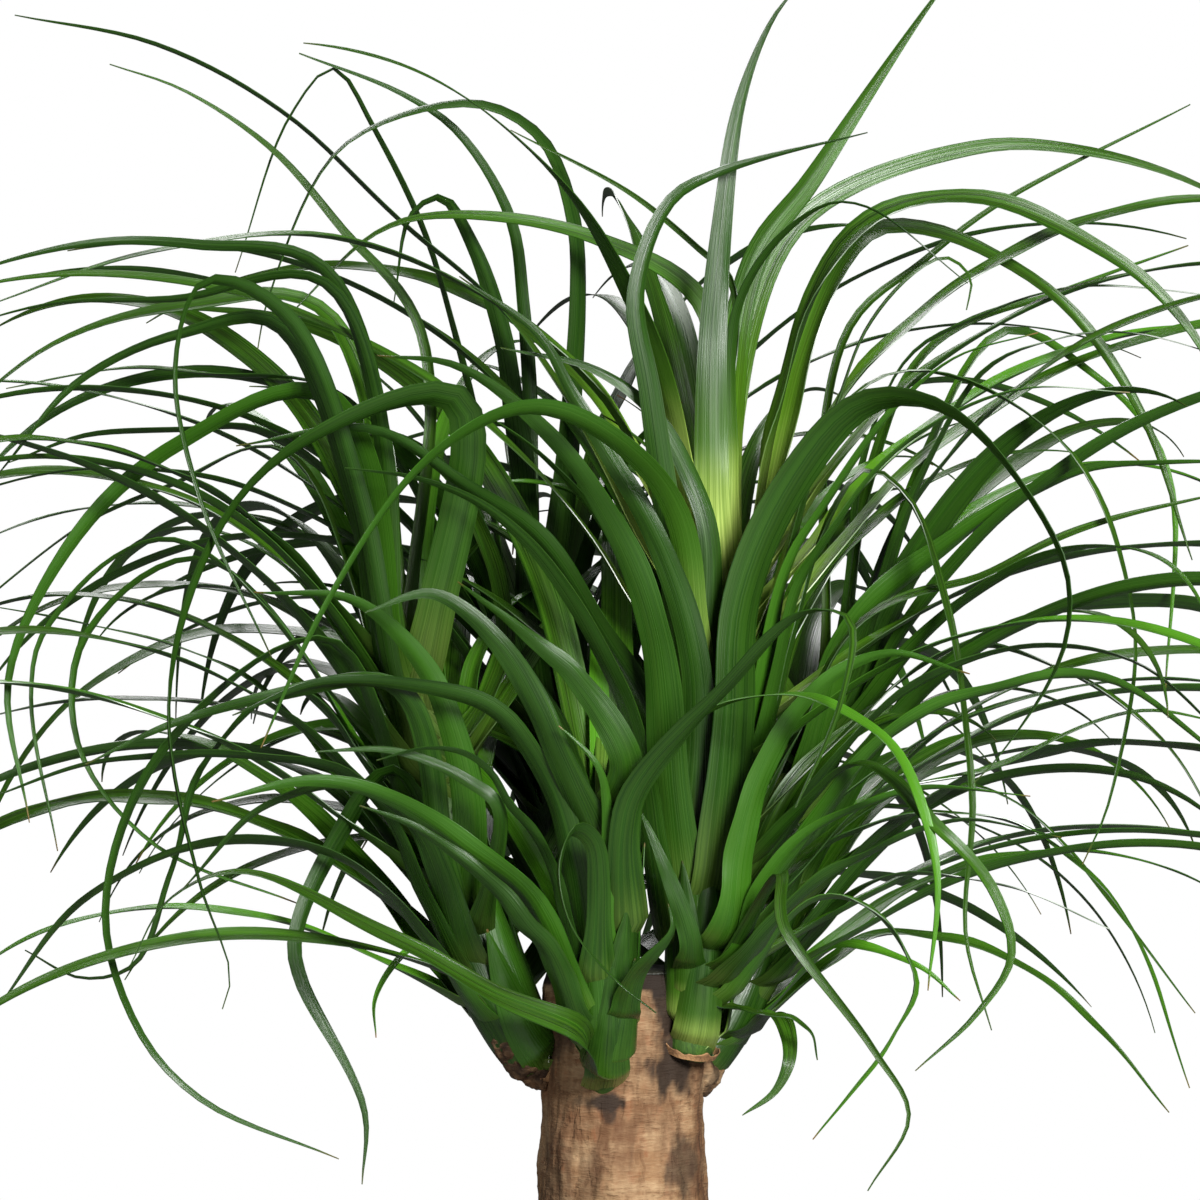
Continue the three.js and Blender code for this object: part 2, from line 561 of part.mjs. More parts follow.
function touches(solid, others) {
  const box = solid.boundingBox();
  return others.some((other) => {
    if (!boxesMeet(box, other.box)) return false;
    const common = solid.intersect(other.solid);
    const touching = !common.isEmpty();
    common.delete();
    return touching;
  });
}

// A leaf keeps clear of everything that isn't of its own shoot, and past its root of its sister leaves too.
function isClear(name, leaf) {
  const whole = blade(leaf, clearance);
  const outer = blade(leaf, clearance, sheathShare);
  const strangers = obstacles.filter((other) => other.shoot !== name);
  const sisters = obstacles.filter((other) => other.shoot === name);
  const clear = !touches(whole, strangers) && !touches(outer, sisters);
  whole.delete();
  outer.delete();
  return clear;
}

const heartSpots = [];
const inHeart = ({ x, y, z }) =>
  Math.abs(x) < heart.reach && y < heart.depth && z > cutHeight + heart.low && z < cutHeight + heart.high;

function hidesHeart(path) {
  if (inHeart(path[pathSteps])) return true;
  const beyondSheath = path.slice(Math.round(sheathShare * pathSteps));
  const hides = (spot) =>
    heartSpots.some(
      (other) =>
        spot.y < other.y &&
        Math.abs(spot.x - other.x) < heart.margin &&
        Math.abs(spot.z - other.z) < heart.margin,
    );
  return beyondSheath.filter(hides).length > heart.hidden;
}

function place(name, leaf) {
  const solid = blade(leaf);
  placed[name].push(solid);
  obstacles.push({ shoot: name, solid, box: solid.boundingBox() });
}

const stems = {};
for (const [name, shoot] of Object.entries(shoots)) {
  stems[name] = stem(shoot);
  obstacles.push({ shoot: name, solid: stems[name], box: stems[name].boundingBox() });
}

let trunk = trunkBody();
for (const shoot of Object.values(shoots)) trunk = trunk.add(knob(shoot));
let seal = solidOf(
  turned(
    [
      [0, cutHeight + gap],
      [sealRadius, cutHeight + gap],
      [sealRadius - 0.5, cutHeight + gap + sealThickness],
      [0, cutHeight + gap + sealThickness + 0.6],
    ],
    trunkSides,
  ),
);
for (const shoot of Object.values(shoots)) {
  const socket = stem(shoot, gap);
  trunk = trunk.subtract(socket);
  seal = seal.subtract(socket);
}
obstacles.push({ shoot: "none", solid: trunk, box: trunk.boundingBox() });
obstacles.push({ shoot: "none", solid: seal, box: seal.boundingBox() });

// A shaped leaf that would touch another shoot is bent clear, backwards or forwards.
for (const [name, share, width, twist, ...points] of shapedLeaves) {
  const middle = shootPath(shoots[name]).getPointAt(share);
  const [across, depth] = points[Math.min(1, points.length - 1)];
  const root = rootAt(shoots[name], share, Math.atan2(depth - middle.y, across - middle.x));
  for (const bend of bends) {
    const leaf = { path: guidedPath(root, points, bend), width, twist, segments: shapedSegments };
    if (isClear(name, leaf)) {
      place(name, leaf);
      heartSpots.push(...leaf.path.filter(inHeart));
      break;
    }
  }
}

// A ruled leaf that would touch another shoot or hide a shaped leaf is drawn again.
for (const [name, shoot] of Object.entries(shoots)) {
  const draw = drawsFrom(shoot.seed);
  for (let index = 0; index < shoot.ruled; index++) {
    for (let attempt = 0; attempt < drawLimit; attempt++) {
      const leaf = ruledLeaf(shoot, index, attempt, draw);
      leaf.path = archedPath(leaf);
      const hangs = leaf.path.some((spot) => spot.z < lowestRuled);
      if (!hangs && !hidesHeart(leaf.path) && isClear(name, leaf)) {
        place(name, leaf);
        break;
      }
    }
  }
}

// A pocket that the leaves close round is filled, and a loose scrap is dropped.
function wholeBody(solid) {
  const shells = solid.decompose().filter((shell) => shell.volume() > 0);
  return shells.sort((a, b) => b.volume() - a.volume())[0].simplify(finest);
}

function soil() {
  const wall = wallRadiusAt(soilTop) - potWall - gap;
  const floor = wallRadiusAt(potWall) - potWall - gap;
  const bed = solidOf(
    turned(
      [
        [0, potWall + gap],
        [floor, potWall + gap],
        [wall - 1, soilTop - 3],
        [wall - 6, soilTop],
        [swellingRadius + 8, soilTop + soilMound / 2],
        [swellingRadius - 20, soilTop + soilMound],
        [0, soilTop + soilMound],
      ],
      potSides,
    ),
  );
  return bed.subtract(trunkBody(gap));
}

const plant = new THREE.Group();
function add(name, solid, material) {
  const mesh = new THREE.Mesh(geometryOf(solid), material);
  mesh.name = name;
  plant.add(mesh);
}

add("pot", pot(), firedClay);
add("soil", soil(), pottingSoil);
add("trunk", trunk, trunkBark);
add("cut_seal", seal, blackWax);
for (const name of Object.keys(shoots)) {
  add("shoot_" + name, wholeBody(wasm.Manifold.union([stems[name], ...placed[name]])), leafGreen);
}

export default plant;
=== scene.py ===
# A potted ponytail palm: bark, leaves, wax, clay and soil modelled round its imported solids.
# Every size below is in millimetres unless it says otherwise; meshes are written in metres.
import math

import bmesh
import bpy
import numpy as np
from mathutils import Euler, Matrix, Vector, noise
from mathutils.kdtree import KDTree


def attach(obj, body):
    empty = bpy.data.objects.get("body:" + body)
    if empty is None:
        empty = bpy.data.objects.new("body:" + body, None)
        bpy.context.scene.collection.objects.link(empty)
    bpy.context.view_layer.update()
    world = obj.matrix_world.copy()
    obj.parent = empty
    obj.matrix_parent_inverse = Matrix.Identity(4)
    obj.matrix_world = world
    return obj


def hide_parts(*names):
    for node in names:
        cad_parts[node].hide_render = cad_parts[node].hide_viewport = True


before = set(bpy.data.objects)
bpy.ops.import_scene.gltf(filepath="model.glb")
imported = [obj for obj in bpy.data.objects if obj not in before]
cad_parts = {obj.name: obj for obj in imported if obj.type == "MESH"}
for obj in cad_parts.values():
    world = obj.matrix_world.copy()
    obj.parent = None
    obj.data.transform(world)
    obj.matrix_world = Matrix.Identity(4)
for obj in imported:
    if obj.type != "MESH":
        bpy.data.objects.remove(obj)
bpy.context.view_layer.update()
mm = 0.001
print("frame:", len(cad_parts), "nodes")

view = {"across": -11, "away": 4000, "height": 726, "lens": 240, "sensor": 36}
studio = {
    "backdrop": 1.0,
    "ambient": 0.055,
    "aimHeight": 650,
    "lamps": {  # sizes in metres, powers in watts
        "key": {"at": (1250, -3300, 1800), "size": 1.0, "power": 292},
        "fill": {"at": (-2200, -2900, 1500), "size": 1.0, "power": 34},
        "top": {"at": (300, -900, 3600), "size": 1.0, "power": 10},
        "back": {"at": (-900, 2600, 2900), "size": 1.4, "power": 48, "gloss": 0.15},
    },
    "floor": {"radius": 4500, "sides": 96, "seen": 0.85, "unseen": 0.15, "roughness": 0.8},
}


def paint(red, green, blue):  # from 0 to 255, as on screen
    shades = [shade / 255 for shade in (red, green, blue)]
    return tuple(s / 12.92 if s < 0.04045 else ((s + 0.055) / 1.055) ** 2.4 for s in shades) + (1,)


def wire(tree, sockets, values):  # each socket gets its value, or a link to it
    for name, value in values.items():
        if isinstance(value, bpy.types.NodeSocket):
            tree.links.new(value, sockets[name])
        else:
            sockets[name].default_value = value


def place(tree, kind, values=None, **settings):  # a node, with its settings made before its inputs
    made = tree.nodes.new(kind)
    for name, value in settings.items():
        setattr(made, name, value)
    wire(tree, made.inputs, values or {})
    return made


def newMaterial(name):
    material = bpy.data.materials.new(name)
    material.use_nodes = True
    return material, material.node_tree, material.node_tree.nodes["Principled BSDF"].inputs


def setCamera():
    data = bpy.data.cameras.new("camera")
    data.lens = view["lens"]
    data.sensor_width = view["sensor"]
    camera = bpy.data.objects.new("camera", data)
    camera.location = Vector((view["across"], -view["away"], view["height"])) * mm
    camera.rotation_euler = (math.radians(90), 0, 0)
    bpy.context.scene.collection.objects.link(camera)
    bpy.context.scene.camera = camera


def setLamps():
    aim = Vector((0, 0, studio["aimHeight"])) * mm
    for name, lamp in studio["lamps"].items():
        data = bpy.data.lights.new(name, "AREA")
        data.energy = lamp["power"]
        data.size = lamp["size"]
        data.specular_factor = lamp.get("gloss", 1.0)
        light = bpy.data.objects.new(name, data)
        light.location = Vector(lamp["at"]) * mm
        light.rotation_euler = (aim - light.location).to_track_quat("-Z", "Y").to_euler()
        bpy.context.scene.collection.objects.link(light)


def byRay(tree, unseen, seen):  # one value for the camera, another for the light that bounces
    camera = place(tree, "ShaderNodeLightPath").outputs["Is Camera Ray"]
    return place(tree, "ShaderNodeMix", {0: camera, 2: unseen, 3: seen}).outputs[0]


def setBackdrop():
    world = bpy.data.worlds.new("studio")
    world.use_nodes = True
    tree = world.node_tree
    tree.nodes.clear()
    strength = byRay(tree, studio["ambient"], studio["backdrop"])
    white = place(tree, "ShaderNodeBackground", {"Color": (1, 1, 1, 1), "Strength": strength})
    place(tree, "ShaderNodeOutputWorld", {"Surface": white.outputs[0]})
    bpy.context.scene.world = world
    bpy.context.scene.view_settings.view_transform = "Standard"


def finishedObject(name, bm, material, smooth=True):
    mesh = bpy.data.meshes.new(name)
    for face in bm.faces:
        face.smooth = smooth
    bm.to_mesh(mesh)
    bm.free()
    mesh.materials.append(material)
    piece = bpy.data.objects.new(name, mesh)
    bpy.context.scene.collection.objects.link(piece)
    return piece


def setFloor():
    floor = studio["floor"]
    material, tree, shader = newMaterial("paleFloor")
    shade = byRay(tree, floor["unseen"], floor["seen"])
    wire(tree, shader, {"Base Color": shade, "Roughness": floor["roughness"]})
    bm = bmesh.new()
    bmesh.ops.create_circle(bm, cap_ends=True, segments=floor["sides"], radius=floor["radius"] * mm)
    finishedObject("floor", bm, material, smooth=False)


setCamera()
setLamps()
setBackdrop()
setFloor()
print("studio ready")


# Finishes, and the steps that they are made of.
def newGroup(name, inputs, outputs):  # from a vector and numbers to numbers
    group = bpy.data.node_groups.new(name, "ShaderNodeTree")
    group.interface.new_socket(name="Vector", in_out="INPUT", socket_type="NodeSocketVector")
    for socket, value in inputs.items():
        made = group.interface.new_socket(name=socket, in_out="INPUT", socket_type="NodeSocketFloat")
        made.default_value = value
    for socket in outputs:
        group.interface.new_socket(name=socket, in_out="OUTPUT", socket_type="NodeSocketFloat")
    return group, place(group, "NodeGroupInput").outputs, place(group, "NodeGroupOutput").inputs


def reckoned(tree, operation, *values):
    return place(tree, "ShaderNodeMath", dict(enumerate(values)), operation=operation).outputs[0]


def times(tree, first, second):
    return reckoned(tree, "MULTIPLY", first, second)


def mixed(tree, factor, first, second):
    return place(tree, "ShaderNodeMix", {0: factor, 6: first, 7: second}, data_type="RGBA").outputs[2]


def between(tree, value, low, high, lowest=0.0, highest=1.0):  # eases from lowest to highest
    values = {"Value": value, "From Min": low, "From Max": high, "To Min": lowest, "To Max": highest}
    return place(tree, "ShaderNodeMapRange", values, interpolation_type="SMOOTHSTEP").outputs[0]


def clouded(tree, vector, scale, detail):
    values = {"Vector": vector, "Scale": scale, "Detail": detail}
    return place(tree, "ShaderNodeTexNoise", values).outputs


def grained(tree, group, vector, values):
    return place(tree, "ShaderNodeGroup", {"Vector": vector, **values}, node_tree=group).outputs


def bumped(tree, height, depth, strength):
    values = {"Height": height, "Distance": depth * mm, "Strength": strength}
    return place(tree, "ShaderNodeBump", values).outputs[0]


def attribute(tree, name):
    return place(tree, "ShaderNodeAttribute", attribute_name=name).outputs["Fac"]


def objectSpot(tree, *stretch):  # where a point lies on its piece; under 1 draws a pattern out that way
    spot = place(tree, "ShaderNodeTexCoord").outputs["Object"]
    return place(tree, "ShaderNodeMapping", {"Vector": spot, "Scale": stretch}).outputs[0]


def mottleGroup():  # patches at two sizes, from 0 to 1
    inputs = {"Scale": 10.0, "Grit": 8.0, "Grit Share": 0.3}
    group, given, out = newGroup("mottle", inputs, ("Patches", "Grit"))
    broad = clouded(group, given["Vector"], given["Scale"], 6.0)[0]
    fine = clouded(group, given["Vector"], times(group, given["Scale"], given["Grit"]), 3.0)[0]
    both = place(group, "ShaderNodeMix", {0: given["Grit Share"], 2: broad, 3: fine}).outputs[0]
    wire(group, out, {"Patches": between(group, both, 0.32, 0.68), "Grit": fine})
    return group


lineDensities = {"Fine": (34.0, 1.5), "Broad": (5.0, 4.0)}  # across a leaf and along it


def veinsGroup():  # lines along a leaf, from its own map: across and along
    group, given, out = newGroup("veins", {"Tone": 0.5}, (*lineDensities, "Along"))
    ways = place(group, "ShaderNodeSeparateXYZ", {0: given["Vector"]}).outputs
    shift = times(group, given["Tone"], 37.0)  # leaves of unlike tones have unlike lines
    for name, (across, along) in lineDensities.items():
        spot = {0: times(group, ways[0], across), 1: times(group, ways[1], along), 2: shift}
        spot = place(group, "ShaderNodeCombineXYZ", spot).outputs[0]
        wire(group, out, {name: between(group, clouded(group, spot, 1.0, 2.0)[0], 0.3, 0.7)})
    wire(group, out, {"Along": ways[1]})
    return group


mottle = mottleGroup()
veins = veinsGroup()

leafFinish = {
    "deep": paint(12, 34, 5),
    "mid": paint(66, 124, 22),
    "bright": paint(112, 164, 34),
    "pale": paint(186, 208, 104),
    "under": paint(26, 56, 14),
    "dry": paint(120, 84, 46),
    "roughness": 0.25,
    "veinRoughness": 0.14,
    "specular": 0.42,
    "veinDepth": 0.16,
    "veinStrength": 0.5,
    "youngShare": (0.1, 0.45),  # of a young leaf's length: bright up to there, and then less so
    "baseShare": 0.13,  # of a leaf's length, paler
    "youngBase": 0.3,  # how much more of it on a young leaf
    "dryShare": (0.97, 0.995),
}


def leafMaterial():
    material, tree, shader = newMaterial("strapLeaf")
    chart = place(tree, "ShaderNodeUVMap", uv_map="leaf").outputs[0]
    # toneAndShade: a random darkness of the green, made darker still on the highest leaves as painted shade
    toneAndShade = attribute(tree, "toneAndShade")
    line = grained(tree, veins, chart, {"Tone": toneAndShade})
    youth = between(tree, line["Along"], *leafFinish["youngShare"], 1.0, 0.0)
    youth = times(tree, attribute(tree, "youth"), youth)
    colour = mixed(tree, between(tree, toneAndShade, 0.1, 1.0), leafFinish["deep"], leafFinish["mid"])
    for mask, share, shade in (
        (line["Broad"], 0.3, "mid"),
        (line["Fine"], 0.16, "bright"),
        (youth, 0.6, "bright"),
        (attribute(tree, "under"), 0.6, "under"),
    ):
        colour = mixed(tree, times(tree, mask, share), colour, leafFinish[shade])
    paleEnd = reckoned(tree, "MULTIPLY_ADD", youth, leafFinish["youngBase"], leafFinish["baseShare"])
    base = between(tree, reckoned(tree, "DIVIDE", line["Along"], paleEnd), 0.1, 1.0, 1.0, 0.0)
    striped = times(tree, base, reckoned(tree, "MULTIPLY_ADD", line["Fine"], 0.5, 0.5))
    faded = times(tree, striped, reckoned(tree, "MULTIPLY_ADD", youth, 0.75, 0.1))
    colour = mixed(tree, faded, colour, leafFinish["pale"])
    dried = times(tree, between(tree, line["Along"], *leafFinish["dryShare"]), toneAndShade)
    looks = {
        "Base Color": mixed(tree, dried, colour, leafFinish["dry"]),
        "Roughness": reckoned(
            tree, "MULTIPLY_ADD", line["Fine"], leafFinish["veinRoughness"], leafFinish["roughness"]
        ),
        "Normal": bumped(tree, line["Fine"], leafFinish["veinDepth"], leafFinish["veinStrength"]),
        "Specular IOR Level": leafFinish["specular"],
    }
    wire(tree, shader, looks)
    return material


stemFinish = {
    "green": paint(26, 54, 10),
    "pale": paint(64, 98, 28),
    "grain": {"Scale": 220.0, "Grit Share": 0.4},
    "roughness": 0.6,
}


def stemMaterial():
    material, tree, shader = newMaterial("greenStem")
    patch = grained(tree, mottle, objectSpot(tree, 1.0, 1.0, 0.12), stemFinish["grain"])
    looks = {
        "Base Color": mixed(tree, patch["Patches"], stemFinish["green"], stemFinish["pale"]),
        "Roughness": stemFinish["roughness"],
        "Normal": bumped(tree, patch["Grit"], 0.4, 0.5),
    }
    wire(tree, shader, looks)
    return material


barkFinish = {
    "tan": paint(132, 99, 67),
    "light": paint(168, 142, 108),
    "brown": paint(86, 56, 34),
    "russet": paint(112, 66, 38),
    # painted shade in the trunk's carved cracks; on the knobs, random dark flecks
    "dark": paint(22, 15, 10),
    # partly real runs of sap and wax, partly painted shade under and behind the shoots
    "stainAndShade": paint(34, 24, 16),
    "moss": paint(92, 96, 50),
    "patches": {"Scale": 42.0, "Grit": 5.0, "Grit Share": 0.3},
    "bands": {"Scale": 70.0, "Grit": 6.0, "Grit Share": 0.35},
    "plateScale": 62.0,
    "plateBend": 0.022,
    "splitWidth": 0.09,  # of the splits between plates
    "splitDepth": 0.4,
    "depth": 1.0,
    "strength": 0.8,
    "roughness": 0.82,
    "specular": 0.3,
}


def barkMaterial():
    material, tree, shader = newMaterial("furrowedBark")
    tall = objectSpot(tree, 1.0, 1.0, 0.42)
    patch = grained(tree, mottle, tall, barkFinish["patches"])
    band = grained(tree, mottle, objectSpot(tree, 0.5, 0.5, 2.2), barkFinish["bands"])
    bend = {0: clouded(tree, tall, 70.0, 4.0)["Color"], 3: barkFinish["plateBend"]}
    bend = place(tree, "ShaderNodeVectorMath", bend, operation="SCALE").outputs[0]
    bent = place(tree, "ShaderNodeVectorMath", {0: tall, 1: bend}, operation="ADD").outputs[0]
    plates = {"Vector": bent, "Scale": barkFinish["plateScale"]}
    plates = place(tree, "ShaderNodeTexVoronoi", plates, feature="DISTANCE_TO_EDGE").outputs["Distance"]
    split = between(tree, plates, 0.0, barkFinish["splitWidth"], 1.0, 0.0)
    split = times(tree, split, between(tree, band["Patches"], 0.75, 0.2))
    colour = mixed(tree, patch["Patches"], barkFinish["brown"], barkFinish["tan"])
    for mask, shade in (
        (between(tree, patch["Grit"], 0.5, 0.7, 0.0, 0.6), "russet"),
        (times(tree, times(tree, band["Patches"], patch["Patches"]), 0.85), "light"),
        (times(tree, split, 0.35), "brown"),
        # the trunk's cracks are carved in and also painted with shade
        (attribute(tree, "crackAndShade"), "dark"),
        (attribute(tree, "moss"), "moss"),
        # partly real runs of sap and wax, partly painted shade under and behind the shoots
        (attribute(tree, "stainAndShade"), "stainAndShade"),
    ):
        colour = mixed(tree, mask, colour, barkFinish[shade])
    height = reckoned(tree, "ADD", band["Grit"], patch["Grit"])
    height = reckoned(tree, "SUBTRACT", height, times(tree, split, barkFinish["splitDepth"]))
    looks = {
        "Base Color": colour,
        "Roughness": barkFinish["roughness"],
        "Specular IOR Level": barkFinish["specular"],
        "Normal": bumped(tree, height, barkFinish["depth"], barkFinish["strength"]),
    }
    wire(tree, shader, looks)
    return material


def plainMaterial(name, dark, light, scale, depth, roughness, squeeze=1.0):
    material, tree, shader = newMaterial(name)
    spot = objectSpot(tree, 1.0, 1.0, squeeze)
    patch = grained(tree, mottle, spot, {"Scale": scale, "Grit": 9.0, "Grit Share": 0.4})
    looks = {
        "Base Color": mixed(tree, patch["Patches"], dark, light),
        "Roughness": between(tree, patch["Grit"], 0.3, 0.7, roughness - 0.1, roughness + 0.1),
        "Normal": bumped(tree, patch["Grit"], depth, 0.6),
    }
    wire(tree, shader, looks)
    return material


leafSkin = leafMaterial()
stemSkin = stemMaterial()
barkSkin = barkMaterial()
dryLeaf = plainMaterial("dryHusk", paint(82, 54, 32), paint(164, 124, 82), 120.0, 0.4, 0.75)
blackWax = plainMaterial("blackWax", paint(22, 24, 17), paint(44, 44, 34), 60.0, 0.5, 0.5)
clay = plainMaterial("firedClay", paint(168, 92, 60), paint(196, 124, 88), 22.0, 0.25, 0.85, squeeze=2.2)
earth = plainMaterial("pottingSoil", paint(34, 25, 19), paint(74, 56, 42), 60.0, 1.2, 0.95)
perlite = plainMaterial("perlite", paint(205, 203, 196), paint(236, 234, 228), 300.0, 0.3, 0.8)
print("finishes ready")

# The shoots and the leaves of the solids, which the scene's finer leaves follow.
cutHeight = 540  # of the trunk's cut top
shoots = {
    "right": {"foot": (33, -22, 502), "elbow": (43, -36, 528), "tip": (46, -22, 742), "facing": -30},
    "front": {"foot": (-9, -32, 484), "elbow": (-9, -66, 505), "tip": (-2, -72, 650), "facing": 260},
    "left": {"foot": (-34, -8, 492), "elbow": (-70, -16, 512), "tip": (-104, -12, 690), "facing": 185},
    "back_right": {"foot": (30, 22, 488), "elbow": (62, 40, 508), "tip": (96, 56, 668), "facing": 30},
    "back": {"foot": (-6, 36, 494), "elbow": (-8, 68, 516), "tip": (-44, 90, 702), "facing": 115},
}
shootSeeds = {"right": 11, "front": 23, "left": 37, "back_right": 51, "back": 79}
stemSizes = {"foot": 12, "swell": 14, "tip": 5, "swellShare": 0.25, "rootDepth": 3}
leafRule = {
    "steps": 48,
    "steepestFall": -86,  # degrees
    "lateDroop": 1.3,  # above 1, a leaf bends more towards its tip; likewise the twist
    "lateTwist": 1.5,
    "rolled": 12,  # the roll is there after one part in so many of the length
    "inner": 8,  # steps of a path that lie among the leaf bases
    "bends": (0, 6, -6, 12, -12, 18, -18, 25, -25, 35, -35, 45, -45, 60, -60),
    "rolls": {("front", 0.05): -60},  # degrees that a leaf lies on its side
    "match": 0.3,  # how near a corner of the solid must be to the leaf's tip
}
ruled = {  # the leaves that follow a rule; pairs are for the oldest and the youngest, spreads are full ones
    "counts": {"right": 32, "front": 12, "left": 27, "back_right": 27, "back": 34},
    "goldenAngle": 137.5,
    "lowest": 492,
    "draws": 60,
    "unrest": 0.07,  # how much more freely a leaf is aimed with each draw that fails
    "aimSpread": 40,
    "share": (0.12, 0.97),
    "slope": (30, 70),
    "slopeSpread": 20,
    "inward": 28,  # how much steeper an old leaf stands on the crown's inner side
    "droop": (100, 105),
    "droopSpread": 60,
    "swingSpread": 80,
    "length": 300,
    "longer": 150,  # in middle age
    "lengthSpread": 90,
    "width": (12, 19),  # least and most
    "twistSpread": 160,
}
